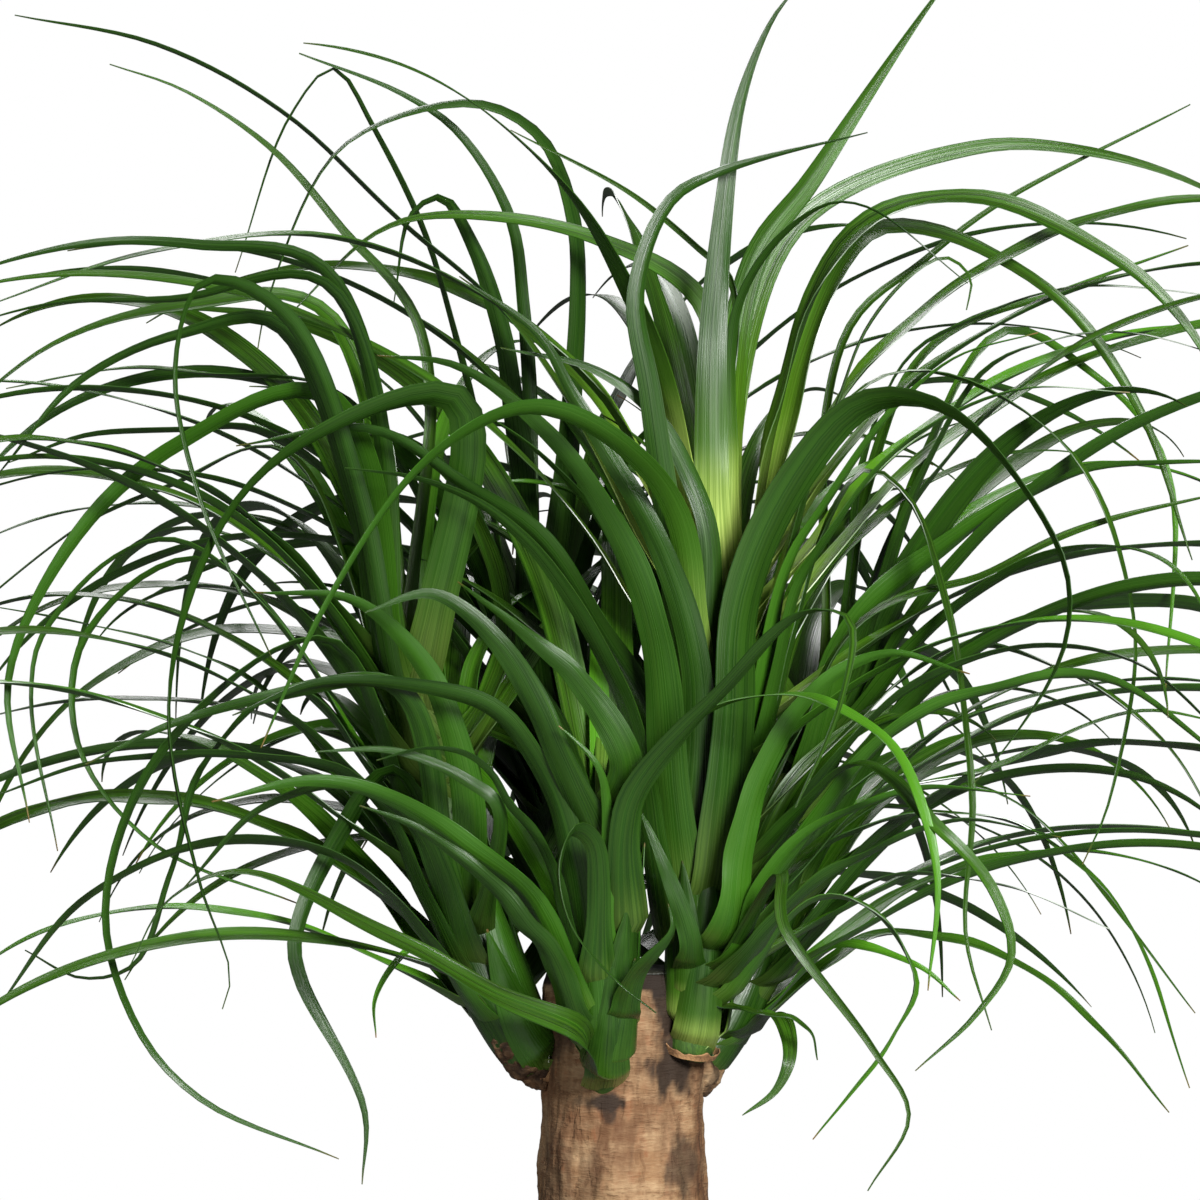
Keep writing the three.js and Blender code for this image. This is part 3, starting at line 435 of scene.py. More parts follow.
# Each row: the shoot, how far up it the leaf sits (0 to 1), its width, its twist by the tip in degrees, and
# then the points that it passes: across, depth and height above the cut.
shapedLeaves = [
    # over the top, to the left
    ["right", 0.85, 13, 60, [-51, 20, 321], [-111, 40, 376], [-168, 50, 430], [-236, 60, 468],
      [-308, 60, 483]],
    ["left", 0.95, 7, 40, [-101, 10, 321], [-141, 20, 373], [-176, 25, 413], [-221, 30, 443],
      [-258, 30, 456]],
    ["back", 0.9, 9, 50, [-50, 70, 336], [-57, 60, 381], [-83, 50, 423], [-111, 45, 442], [-163, 40, 462]],
    ["back", 0.8, 7, 30, [-96, 60, 361], [-126, 50, 426], [-146, 45, 455], [-168, 40, 430],
      [-195, 30, 351]],
    ["back", 0.95, 17, 100, [-20, 50, 336], [-24, 40, 383], [-41, 30, 421], [-75, 20, 437], [-141, 10, 413],
      [-177, 0, 336], [-182, 0, 311]],
    ["right", 0.8, 21, -30, [10, -30, 256], [-53, -30, 326], [-145, -20, 366], [-234, -20, 359],
      [-321, -20, 331]],
    ["left", 0.9, 12, 30, [-146, -40, 348], [-211, -40, 362], [-260, -40, 363], [-311, -40, 352],
      [-336, -40, 341]],
    ["left", 0.85, 12, -20, [-146, -60, 341], [-221, -60, 334], [-281, -60, 332], [-326, -60, 321]],
    ["left", 0.8, 19, 20, [-150, 25, 330], [-221, 15, 333], [-285, 10, 314], [-336, 10, 276]],
    ["back", 0.85, 18, -30, [-146, 40, 291], [-199, 40, 299], [-251, 40, 303], [-311, 40, 293]],
    ["left", 0.75, 16, 30, [-170, -70, 321], [-218, -75, 316], [-266, -75, 294], [-308, -75, 246]],
    ["left", 0.7, 11, 70, [-161, -90, 321], [-203, -120, 340], [-216, -126, 300], [-205, -130, 237],
      [-170, -130, 158]],
    ["back", 0.7, 19, 20, [-61, 50, 321], [-76, 40, 366], [-91, 32, 389], [-106, 30, 380], [-115, 28, 336]],
    ["back", 0.9, 16, 30, [-181, 60, 271], [-221, 60, 272], [-270, 60, 270], [-311, 60, 256]],
    # the right shoot's tall leaves and arches
    ["right", 0.97, 12, 60, [42, 0, 331], [-12, 10, 367], [-91, 10, 379], [-123, 10, 370], [-170, 10, 326]],
    ["right", 0.98, 6, 30, [55, -10, 344], [39, 0, 361], [4, 10, 390], [-56, 20, 422]],
    ["right", 0.6, 15, 120, [14, -70, 286], [7, -75, 336], [23, -70, 381], [46, -60, 396], [121, -50, 417]],
    ["right", 0.9, 18, 50, [44, -40, 286], [46, -42, 333], [58, -40, 431], [74, -38, 473], [89, -36, 493]],
    ["right", 0.93, 17, 70, [51, 5, 271], [67, 10, 358], [94, 12, 396], [155, 14, 486], [176, 14, 511]],
    ["right", 0.88, 13, 80, [56, 20, 286], [89, 30, 376], [178, 50, 415], [235, 60, 414], [289, 70, 399],
      [339, 80, 371]],
    ["back_right", 0.95, 6, 40, [114, 60, 321], [153, 60, 358], [191, 60, 387], [289, 60, 438]],
    ["right", 0.82, 22, 110, [76, -30, 276], [114, -30, 366], [172, -20, 386], [248, -20, 354],
      [283, -20, 320], [305, -20, 276]],
    ["right", 0.86, 18, 60, [121, 5, 367], [150, 8, 371], [211, 10, 343], [257, 10, 286], [286, 10, 206]],
    ["right", 0.65, 15, 50, [104, -50, 276], [121, -52, 320], [145, -52, 348], [160, -52, 355],
      [172, -52, 345], [170, -52, 329]],
    ["right", 0.95, 8, 40, [59, -5, 336], [99, -5, 380], [121, -5, 379], [170, -5, 342]],
    ["back_right", 0.9, 12, 30, [140, 40, 302], [178, 40, 328], [229, 40, 344], [319, 40, 338]],
    ["back_right", 0.85, 10, 30, [154, 80, 311], [226, 80, 344], [289, 80, 367]],
    ["back_right", 0.8, 14, 40, [178, -15, 297], [216, -20, 316], [255, -20, 319], [314, -20, 303]],
    ["back_right", 0.75, 12, 60, [194, 60, 322], [239, 60, 300], [267, 60, 273], [280, 60, 235],
      [276, 60, 139]],
    # out to the right, towards the viewer
    ["right", 0.3, 27, -20, [49, -48, 70], [54, -56, 125], [60, -62, 186], [80, -74, 236], [111, -92, 277],
      [131, -102, 284], [159, -115, 276], [189, -130, 246], [213, -146, 201], [211, -152, 161],
      [181, -155, 111], [169, -155, 98]],
    ["right", 0.7, 14, 40, [114, -60, 286], [149, -80, 300], [219, -95, 263], [253, -100, 177],
      [241, -100, 86], [228, -100, 55]],
    ["back_right", 0.7, 21, 30, [114, 0, 171], [140, 0, 196], [184, 0, 228], [229, 0, 250], [314, 0, 256]],
    ["right", 0.4, 12, 60, [119, -30, 176], [178, -30, 198], [229, -30, 222], [300, -30, 240]],
    ["right", 0.45, 12, 60, [120, -40, 250], [141, -40, 236], [160, -40, 184], [173, -40, 86],
      [170, -40, 20], [183, -40, -27]],
    ["right", 0.3, 18, 20, [121, -60, 126], [172, -60, 156], [210, -60, 163], [255, -60, 154],
      [309, -60, 106]],
    ["right", 0.25, 16, -20, [133, -90, 122], [184, -90, 143], [235, -90, 148], [304, -90, 101]],
    ["right", 0.2, 12, 30, [119, -40, 86], [178, -40, 101], [255, -40, 131], [300, -40, 125]],
    ["back_right", 0.6, 19, 30, [170, 35, 160], [219, 40, 152], [274, 40, 114], [304, 40, 66]],
    ["right", 0.35, 11, 50, [114, -80, 106], [150, -100, 78], [178, -100, 47], [187, -100, 14],
      [170, -100, -14], [141, -100, -41]],
    # in the middle of the crown
    ["right", 0.3, 22, -20, [10, -90, 190], [-30, -100, 260], [-80, -90, 300], [-120, -80, 306]],
    ["front", 0.6, 19, 30, [-25, -80, 115], [-47, -88, 150], [-68, -92, 175], [-91, -94, 187]],
    ["left", 0.75, 15, 20, [-60, 20, 170], [-80, 15, 240], [-112, 10, 268], [-150, 10, 270]],
    ["left", 0.4, 18, -30, [-75, -60, 90], [-95, -80, 150], [-130, -90, 185], [-180, -95, 190]],
    ["left", 0.25, 17, 20, [-95, -55, 70], [-130, -75, 95], [-175, -85, 85], [-215, -90, 45]],
    ["right", 0.62, 14, 30, [44, -52, 215], [34, -56, 246], [14, -60, 280], [-15, -62, 300],
      [-60, -62, 310]],
    ["right", 0.5, 14, 20, [79, -50, 196], [99, -52, 231], [119, -54, 261], [138, -55, 284],
      [165, -56, 306], [205, -56, 318]],
    ["right", 0.42, 12, 30, [84, -40, 186], [104, -40, 222], [129, -40, 254], [159, -40, 276],
      [199, -40, 290], [249, -40, 288]],
    ["right", 0.18, 16, 0, [9, -50, 116], [-11, -54, 161], [-28, -56, 191], [-46, -57, 214],
      [-71, -58, 234], [-101, -58, 246], [-136, -58, 251]],
    ["right", 0.2, 17, 10, [52, -60, 26], [56, -68, 62], [64, -74, 92], [79, -80, 122], [99, -84, 146],
      [130, -86, 160], [170, -86, 150]],
    ["right", 0.16, 11, 20, [57, -52, 16], [62, -58, 40], [74, -62, 58], [91, -66, 73], [119, -70, 86],
      [150, -72, 94], [200, -72, 90]],
    ["front", 0.4, 8, 0, [-7, -92, 86], [-12, -94, 106], [-24, -96, 119], [-31, -97, 125]],
    ["front", 0.3, 9, 20, [-31, -80, 56], [-42, -90, 74], [-54, -96, 87], [-64, -98, 102], [-76, -99, 111],
      [-96, -100, 114], [-120, -100, 108]],
    ["left", 0.35, 9, 20, [-61, -90, 86], [-76, -92, 98], [-96, -94, 108], [-116, -95, 113],
      [-150, -95, 112]],
    ["right", 0.15, 12, 10, [36, -50, 17], [25, -55, 50], [14, -58, 75], [9, -60, 84]],
    ["right", 0.22, 18, 15, [22, -45, 110], [-10, -50, 170], [-42, -52, 218], [-80, -55, 244],
      [-123, -58, 270], [-190, -60, 262]],
    ["right", 0.12, 15, 20, [57, -56, 8], [70, -68, 25], [90, -76, 45], [119, -80, 61], [165, -84, 78],
      [215, -86, 70]],
    ["front", 0.35, 17, 20, [-22, -85, 60], [-34, -95, 95], [-60, -102, 130], [-85, -106, 141],
      [-146, -112, 146], [-190, -112, 130]],
    ["front", 0.12, 16, 20, [-33, -84, 14], [-44, -90, 26], [-59, -94, 44], [-77, -98, 59],
      [-104, -102, 77], [-128, -104, 86]],
    ["front", 0.2, 15, 20, [3, -80, 0], [12, -88, 12], [22, -92, 26], [20, -94, 38]],
    ["front", 0.2, 19, 40, [-42, -95, 40], [-75, -108, 65], [-110, -115, 88], [-150, -118, 98],
      [-200, -118, 88]],
    # the front shoot
    ["front", 0.85, 14, 40, [37, -100, 131], [89, -120, 139], [131, -140, 114], [151, -150, 56],
      [147, -150, -2]],
    ["front", 0.45, 17, 60, [1, -95, 86], [42, -110, 135], [89, -130, 180], [108, -135, 177],
      [104, -135, 136], [83, -130, 86]],
    ["front", 0.7, 19, 50, [-18, -100, 86], [-39, -115, 133], [-60, -125, 165], [-92, -130, 189],
      [-125, -130, 180]],
    ["front", 0.8, 18, -40, [4, -100, 107], [-21, -110, 148], [-36, -112, 161], [-80, -115, 195]],
    ["front", 0.3, 12, 60, [-12, -95, 66], [-23, -104, 74], [-30, -112, 56], [-25, -118, 29], [-3, -116, 2],
      [16, -112, -14]],
    ["front", 0.05, 18, 40, [-18, -88, -25], [-61, -100, -6], [-111, -110, 21], [-186, -120, 54],
      [-221, -120, 40], [-239, -120, 9]],
    # the left shoot
    ["left", 0.88, 19, -40, [-81, -80, 283], [-145, -110, 267], [-188, -130, 231], [-219, -140, 141],
      [-205, -140, 51], [-190, -140, 4], [-194, -140, -12]],
    ["right", 0.68, 15, 60, [29, -60, 225], [-9, -90, 267], [-47, -120, 278], [-92, -150, 254],
      [-141, -170, 184], [-172, -170, 116]],
    ["right", 0.4, 17, -20, [39, -50, 146], [23, -58, 201], [9, -62, 231], [-9, -64, 261], [-24, -64, 286],
      [-41, -64, 316], [-80, -60, 345]],
    ["left", 0.82, 17, 30, [-146, -55, 286], [-221, -60, 262], [-272, -60, 214], [-303, -60, 148],
      [-293, -60, 76]],
    ["left", 0.78, 17, 20, [-171, 0, 261], [-228, 0, 242], [-272, 0, 222], [-331, 0, 176]],
    ["left", 0.45, 12, 30, [-183, 40, 142], [-220, 40, 161], [-285, 40, 177], [-336, 40, 186]],
    ["left", 0.72, 8, 50, [-226, -20, 216], [-285, -20, 174], [-294, -20, 139], [-281, -20, 61]],
    ["left", 0.6, 10, 60, [-211, 20, 206], [-269, 20, 168], [-272, 10, 114], [-234, 0, 64], [-162, 0, 34]],
    ["left", 0.2, 12, 20, [-126, -50, 94], [-170, -50, 108], [-260, -50, 106], [-311, -50, 89]],
    ["left", 0.35, 14, 30, [-111, -100, 143], [-170, -110, 139], [-221, -110, 125], [-262, -110, 106]],
    ["left", 0.5, 13, 70, [-146, -60, 166], [-223, -70, 116], [-253, -80, 35], [-237, -80, -25],
      [-206, -80, -59], [-139, -80, -88]],
    ["left", 0.55, 12, 40, [-161, -20, 141], [-206, -20, 106], [-224, -20, 50], [-243, -20, 4],
      [-269, -20, -2], [-297, -20, 12]],
    ["left", 0.3, 14, 80, [-111, -70, 101], [-141, -85, 67], [-162, -90, 18], [-160, -90, 0],
      [-128, -90, -67], [-129, -90, -104]],
    ["left", 0.1, 16, 30, [-111, -30, 39], [-145, -30, 60], [-196, -30, 67], [-265, -30, 39],
      [-311, -30, -18]],
    ["left", 0.1, 13, 10, [-92, -34, 14], [-109, -36, 7], [-120, -36, -11], [-121, -36, -29]],
    # low on the right
    ["back_right", 0.35, 16, 40, [89, 5, 56], [140, 0, 78], [191, 0, 76], [226, 0, 56], [255, 0, 22],
      [284, 0, -58]],
    ["back_right", 0.5, 12, 30, [164, 30, 91], [195, 30, 86], [223, 30, 62], [289, 30, -22]],
    ["back_right", 0.25, 11, 20, [124, -30, 47], [191, -30, 44], [242, -30, 23]],
    ["right", 0.08, 14, 50, [89, -65, 37], [118, -70, 35], [144, -70, 0], [133, -70, -29], [94, -70, -80]],
    ["back_right", 0.05, 15, 20, [102, 20, 12], [121, 20, 12], [150, 20, 2], [169, 20, -14]],
    ["back_right", 0.12, 16, 30, [121, 60, 14], [165, 60, 14], [204, 60, 0], [242, 60, -31],
      [278, 60, -74]],
    ["right", 0.15, 7, 60, [75, -75, 53], [78, -80, 28], [121, -80, -31], [138, -80, -63], [118, -80, -99]],
    ["right", 0.1, 9, 30, [66, -52, -18], [79, -52, -20], [89, -50, -28], [92, -50, -41]],
    ["back_right", 0.1, 13, 10, [72, 14, -20], [79, 8, -41], [73, 6, -57], [58, 4, -69]],
]


def mix(low, high, share):
    return low + (high - low) * share


def within(value, low=0.0, high=1.0):  # held between the two
    return max(low, min(high, value))


def unit(arrow):
    return arrow / np.linalg.norm(arrow)


def squareTo(arrow, along):  # the arrow without what points along
    return unit(arrow - along * arrow.dot(along))


def level(bearing):
    return np.array((math.cos(bearing), math.sin(bearing), 0))


def drawsFrom(seed):
    state = [seed]

    def draw():
        state[0] = (1664525 * state[0] + 1013904223) % 4294967296
        return state[0] / 4294967296

    return draw


def measured(curve, samples=200):  # a curve as points at even lengths
    spots = np.array([curve(i / samples) for i in range(samples + 1)])
    reach = np.concatenate([[0], np.cumsum(np.linalg.norm(np.diff(spots, axis=0), axis=1))])

    def pointAt(share):
        return np.array([np.interp(share * reach[-1], reach, spots[:, axis]) for axis in range(3)])

    return pointAt


def stemCurve(shoot):
    foot, elbow, tip = (np.array(shoot[end], float) for end in ("foot", "elbow", "tip"))
    return measured(lambda t: foot * (1 - t) ** 2 + elbow * 2 * t * (1 - t) + tip * t * t)


def risingAt(stem, share, before, after):  # which way the stem goes, from just before to just after
    return unit(stem(share + after) - stem(max(0, share - before)))


def stemRadius(share, foot=None):
    swell = stemSizes["swellShare"]
    if share < swell:
        return mix(foot or stemSizes["foot"], stemSizes["swell"], share / swell)
    return mix(stemSizes["swell"], stemSizes["tip"], (share - swell) / (1 - swell))


def rootAt(stem, share, out):
    return stem(share) + out * (stemRadius(share) - stemSizes["rootDepth"])


def archedPath(leaf):
    steps, steepest = leafRule["steps"], math.radians(leafRule["steepestFall"])
    path = [leaf["root"]]
    for k in range(1, steps + 1):
        share = (k - 0.5) / steps
        slope = max(leaf["slope"] - leaf["droop"] * share ** leafRule["lateDroop"], steepest)
        step = level(leaf["bearing"] + leaf["swing"] * share * share) * math.cos(slope)
        step[2] = math.sin(slope)
        path.append(path[-1] + step * leaf["length"] / steps)
    return np.array(path)


def throughPoints(points):  # a smooth curve through them, eased by the distances between them
    points = [2 * points[0] - points[1], *points, 2 * points[-1] - points[-2]]
    spans = len(points) - 3

    def curve(t):
        span = min(int(t * spans), spans - 1)
        near = t * spans - span
        a, b, c, d = points[span : span + 4]
        before, during, after = (math.sqrt(np.linalg.norm(q - p)) for p, q in ((a, b), (b, c), (c, d)))
        leaving = ((b - a) / before - (c - a) / (before + during) + (c - b) / during) * during
        arriving = ((c - b) / during - (d - b) / (during + after) + (d - c) / after) * during
        return (
            b
            + leaving * near
            + (3 * (c - b) - 2 * leaving - arriving) * near**2
            + (2 * (b - c) + leaving + arriving) * near**3
        )

    return curve


def guidedPath(root, points, shift):
    guides = [root]
    for i, (across, depth, height) in enumerate(points):
        guides.append(np.array((across, depth + shift * min(1, (i + 1) / 2), cutHeight + height), float))
    pointAt = measured(throughPoints(guides))
    return np.array([pointAt(k / leafRule["steps"]) for k in range(leafRule["steps"] + 1)])


def sidesAlong(path, twist, roll=0, side=None):  # where a blade's edges and upper face point, at each step
    steps = len(path) - 1
    if side is None:
        reach = path[round(steps / 3)] - path[0]
        side = unit(np.array((-reach[1], reach[0], 0)))
    sides, faces = [], []
    for k in range(steps + 1):
        along = unit(path[min(k + 1, steps)] - path[max(k - 1, 0)])
        side = squareTo(side, along)
        turn = math.radians(twist) * (k / steps) ** leafRule["lateTwist"]
        turn += math.radians(roll) * min(1, leafRule["rolled"] * k / steps)
        turned = side * math.cos(turn) + np.cross(along, side) * math.sin(turn)
        sides.append(turned)
        faces.append(np.cross(along, turned))
    return np.array(sides), np.array(faces)


def ruledLeaf(name, stem, index, attempt, draw):
    facing = math.radians(shoots[name]["facing"])
    age = (index + 0.5) / ruled["counts"][name]  # 0 is the oldest and lowest

    def jitter(spread):
        return (draw() - 0.5) * ruled[spread]

    aim = jitter("aimSpread") * (1 + ruled["unrest"] * attempt)
    bearing = math.radians(shoots[name]["facing"] + index * ruled["goldenAngle"] + aim)
    inward = max(0, -math.cos(bearing - facing))
    slope = mix(*ruled["slope"], age) + ruled["inward"] * inward * (1 - age) + jitter("slopeSpread")
    share = mix(*ruled["share"], age**0.8)
    leaf = {
        "root": rootAt(stem, share, level(bearing)),
        "share": share,
        "bearing": bearing,
        "slope": math.radians(slope),
        "droop": math.radians(mix(*ruled["droop"], age) + jitter("droopSpread")),
        "swing": math.radians(jitter("swingSpread")),
        "length": ruled["length"] + ruled["longer"] * math.sin(math.pi * (0.15 + 0.7 * age)),
    }
    leaf["length"] += jitter("lengthSpread")
    leaf["width"] = mix(*ruled["width"], draw())
    leaf["twist"] = jitter("twistSpread")
    leaf["path"] = archedPath(leaf)
    return leaf


def shapedLeaf(stem, row, fits):  # bent the way that the solid's leaf was bent
    name, share, width, twist, *points = row
    middle = stem(share)
    across, depth = points[min(1, len(points) - 1)][:2]
    bearing = math.atan2(depth - middle[1], across - middle[0])
    leaf = {"bearing": bearing, "width": width, "twist": twist, "share": share, "shaped": True}
    leaf["roll"] = leafRule["rolls"].get((name, share), 0)
    for bend in leafRule["bends"]:
        leaf["path"] = guidedPath(rootAt(stem, share, level(bearing)), points, bend)
        if fits(leaf):
            return leaf
    return None


def leavesOf(name):
    stem = stemCurve(shoots[name])
    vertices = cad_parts["shoot_" + name].data.vertices
    corners = KDTree(len(vertices))
    for vertex in vertices:
        corners.insert(vertex.co, vertex.index)
    corners.balance()

    def isBuilt(leaf):  # the solid has a corner at the leaf's tip
        return corners.find(Vector(leaf["path"][-1]) * mm)[2] < leafRule["match"] * mm

    leaves = [shapedLeaf(stem, row, isBuilt) for row in shapedLeaves if row[0] == name]
    leaves = [leaf for leaf in leaves if leaf]
    draw = drawsFrom(shootSeeds[name])
    for index in range(ruled["counts"][name]):
        for attempt in range(ruled["draws"]):
            leaf = ruledLeaf(name, stem, index, attempt, draw)
            if leaf["path"][:, 2].min() >= ruled["lowest"] and isBuilt(leaf):
                leaves.append(leaf)
                break
    return leaves


# Leaves of the scene alone fill the heart of the crown: they rise along their stem before they arch away.
filling = {
    "counts": {"right": 28, "front": 12, "left": 22, "back_right": 16, "back": 16},
    "share": (0.0, 0.72),
    "lowerShare": 1.2,  # above 1, more leaves sit low on the stem
    "aimSpread": 0.6,
    "lean": (4, 14),  # degrees from the stem, at the root
    "fall": (65, 150),  # degrees more, at the tip
    "lateness": (1.3, 2.3),
    "length": (200, 360),
    "width": (14, 23),
    "twist": 90,
    "swing": 0.5,
    "tries": 14,
    "apart": 9,
    "top": 340,  # above the cut
    "bottom": 25,
    "lowSteps": 10,  # of a path that may lie below the bottom
    "spread": 330,
    "heart": {"near": 170, "low": 270, "depth": 60},  # no tip hangs nearer the middle and lower than this
    "shapedDepth": 20,  # shaped leaves behind this may be hidden
    "gaps": ((-40, 546), (20, 551)),  # places to see through, across and height
    "gapRoom": 17,
    "margin": 12,  # before a shaped leaf and nearer than this, a leaf hides it
    "hidden": 3,  # steps of a path that may do so
    "seed": 7,
}


def fillingLeaf(stem, share, bearing, draw):
    def drawn(name):
        return mix(*filling[name], draw())

    steps = leafRule["steps"]
    start = risingAt(stem, share, 0.01, 0.04)
    root = squareTo(level(bearing), start)
    lean, fall = math.radians(drawn("lean")), math.radians(drawn("fall"))
    lateness, length, swing = drawn("lateness"), drawn("length"), filling["swing"] * (2 * draw() - 1)
    path = [rootAt(stem, share, root)]
    for k in range(steps):
        t = (k + 0.5) / steps
        out = squareTo(level(bearing + swing * t * t), start)
        turn = lean + fall * t**lateness
        path.append(path[-1] + (start * math.cos(turn) + out * math.sin(turn)) * length / steps)
    leaf = {"path": np.array(path), "share": share, "side": np.cross(start, root), "out": root}
    return {**leaf, "width": drawn("width"), "twist": filling["twist"] * (draw() - 0.5)}


def isClear(path, shaped):  # it neither ends in the heart, nor hides the shaped leaves or the gaps
    heart, tip = filling["heart"], path[-1]
    if abs(tip[0]) < heart["near"] and tip[2] - cutHeight < heart["low"] and tip[1] < heart["depth"]:
        return False
    outer = path[leafRule["inner"] :, None]
    near = (np.abs(outer - shaped)[..., (0, 2)] < filling["margin"]).all(axis=-1)
    hiding = (near & (outer[..., 1] < shaped[:, 1])).any(axis=1)
    gaps = (np.hypot(path[:, 0] - x, path[:, 2] - z).min() for x, z in filling["gaps"])
    return hiding.sum() <= filling["hidden"] and all(gap > filling["gapRoom"] for gap in gaps)


def roomFor(path, taken, shaped):  # how far it stays from the other leaves, or -1 where it must not go
    rise = path[:, 2] - cutHeight
    fits = rise.max() < filling["top"] and rise[filling["lowSteps"] :].min() > filling["bottom"]
    if not fits or np.abs(path[:, :2]).max() >= filling["spread"] or not isClear(path, shaped):
        return -1
    outer = path[leafRule["steps"] // 4 :: 2]
    return np.linalg.norm(outer[:, None, :] - taken[None, :, :], axis=2).min()


def addFilling(crown):  # the shoots' leaf lists, by name
    def spots(leaf):
        return leaf["path"][leafRule["inner"] :: 3]

    draw = drawsFrom(filling["seed"])
    taken = np.concatenate([spots(leaf) for leaves in crown.values() for leaf in leaves])
    everyLeaf = [leaf for leaves in crown.values() for leaf in leaves]
    shaped = np.concatenate([leaf["path"] for leaf in everyLeaf if "shaped" in leaf])
    middle = np.abs(shaped[:, 0]) < filling["heart"]["near"]
    shaped = shaped[middle & (shaped[:, 1] < filling["shapedDepth"])]
    for name, count in filling["counts"].items():
        stem = stemCurve(shoots[name])
        for index in range(count):
            share = mix(*filling["share"], ((index + 0.5) / count) ** filling["lowerShare"])
            turn = math.radians(shoots[name]["facing"] + index * ruled["goldenAngle"])
            best, room = None, -1
            for _ in range(filling["tries"]):
                leaf = fillingLeaf(stem, share, turn + filling["aimSpread"] * (draw() - 0.5), draw)
                free = roomFor(leaf["path"], taken, shaped)
                if free > room:
                    best, room = leaf, free
                if room > filling["apart"]:
                    break
            if best:
                crown[name].append(best)
                taken = np.concatenate([taken, spots(best)])


# Short old leaf bases wrap the foot of each shoot, in rings.
sheaths = {
    "rings": 4,
    "inRing": 4,
    "share": (0.0, 0.28),
    "first": {"front": 0.025},  # where the lowest ring starts
    "bare": {"front": -0.8},  # bearings with a sine above this have none in the lowest ring
    "length": (60, 110),
    "opening": (0, 9),  # how far the tip stands off the stem
    "width": (20, 24),
    "highest": 0.97,  # of the stem that a sheath may reach
    "stand": 1.4,  # how far the highest ring stands off the stem
    "lowerStand": {"right": 3.0, "left": 2.0},  # how much more the lowest ring does, or else 1
    "overlap": 0.5,  # how much more every other one does
    "youth": {"right": 0.5, "front": 0.3},
    "seed": 29,
}


def sheathLeaf(stem, share, bearing, draw):
    length, opening, width = (mix(*sheaths[name], draw()) for name in ("length", "opening", "width"))
    tall = np.linalg.norm(stem(1) - stem(0))
    path, outs = [], []
    for t in np.linspace(0, 1, leafRule["steps"] + 1):
        height = min(share + t * length / tall, sheaths["highest"])
        outs.append(squareTo(level(bearing), risingAt(stem, height, 0.03, 0.03)))
        path.append(rootAt(stem, height, outs[-1]) + outs[-1] * opening * t * t)
    side = np.cross(risingAt(stem, share, 0, 0.03), outs[0])
    leaf = {"path": np.array(path), "share": share, "side": side, "out": outs[len(outs) // 2]}
    return {**leaf, "width": width, "twist": 0}


def addSheaths(crown):
    draw = drawsFrom(sheaths["seed"])
    for name, leaves in crown.items():
        stem = stemCurve(shoots[name])
        lowest = sheaths["first"].get(name, sheaths["share"][0])
        for index in range(sheaths["rings"] * sheaths["inRing"]):
            ring = index // sheaths["inRing"]
            rise = (ring + 0.5 * draw()) / sheaths["rings"]
            turn = 2 * math.pi * (index + 0.5 * ring + 0.3 * draw()) / sheaths["inRing"]
            leaf = sheathLeaf(stem, mix(lowest, sheaths["share"][1], rise), turn, draw)
            if ring == 0 and math.sin(turn) > sheaths["bare"].get(name, 1):
                continue
            leaf["youth"] = sheaths["youth"].get(name, 0.1)
            lower = sheaths["lowerStand"].get(name, 1.0) * (1 - rise)
            leaf["stand"] = sheaths["stand"] + lower + sheaths["overlap"] * (index % 2)
            leaves.append(leaf)


blade = {
    "across": 6,
    "along": 48,
    "thickness": 0.5,
    "baseWidth": 27,
    "baseWidths": (1.1, 1.9),  # a base's least and greatest width, in widths of its leaf
    "baseShare": 0.22,
    "fullLength": 300,  # a shorter leaf has a longer base for its length
    "sheathLift": 2.2,  # how far a sheath stands off the stem's surface
    "sheathLength": 70,
    "emerging": {"leaf": 14, "sheath": 12},  # lengths in which it comes out of the stem
    "sunk": 0.8,
    "cup": 0.16,
    "cups": (0.5, 1.5),  # a leaf's own share of the cup, drawn between the two
    "crease": 0.24,
    "creases": (0.2, 1.5),  # and of the crease
    "ripple": 0.05,
    "waves": (3, 7),
    "taper": 1.7,
    "tip": 0.15,
    "high": 330,  # above the cut; leaves that rise higher are darker, as painted shade on the top of the crown
    "paintedShadeTone": 0.4,
    "toneBias": 1.8,  # above 1, more leaves are dark
    "ages": (0.55, 0.9),  # shares of a stem, between which its leaves turn young
    "youth": {"leaves_right": 1.0},  # how pale the young leaves are; the others' are hidden
}


def liftOf(leaf, along):  # how far a blade's middle is moved out from its path
    if "stand" in leaf:
        lift = np.interp(along, (0, blade["emerging"]["sheath"]), (-blade["sunk"], 1))
        return lift * (stemSizes["rootDepth"] + leaf["stand"])
    length = blade["sheathLength"]
    lift = np.interp(along, (0, blade["emerging"]["leaf"], length, 2 * length), (-blade["sunk"], 1, 1, 0))
    return lift * (stemSizes["rootDepth"] + blade["sheathLift"])


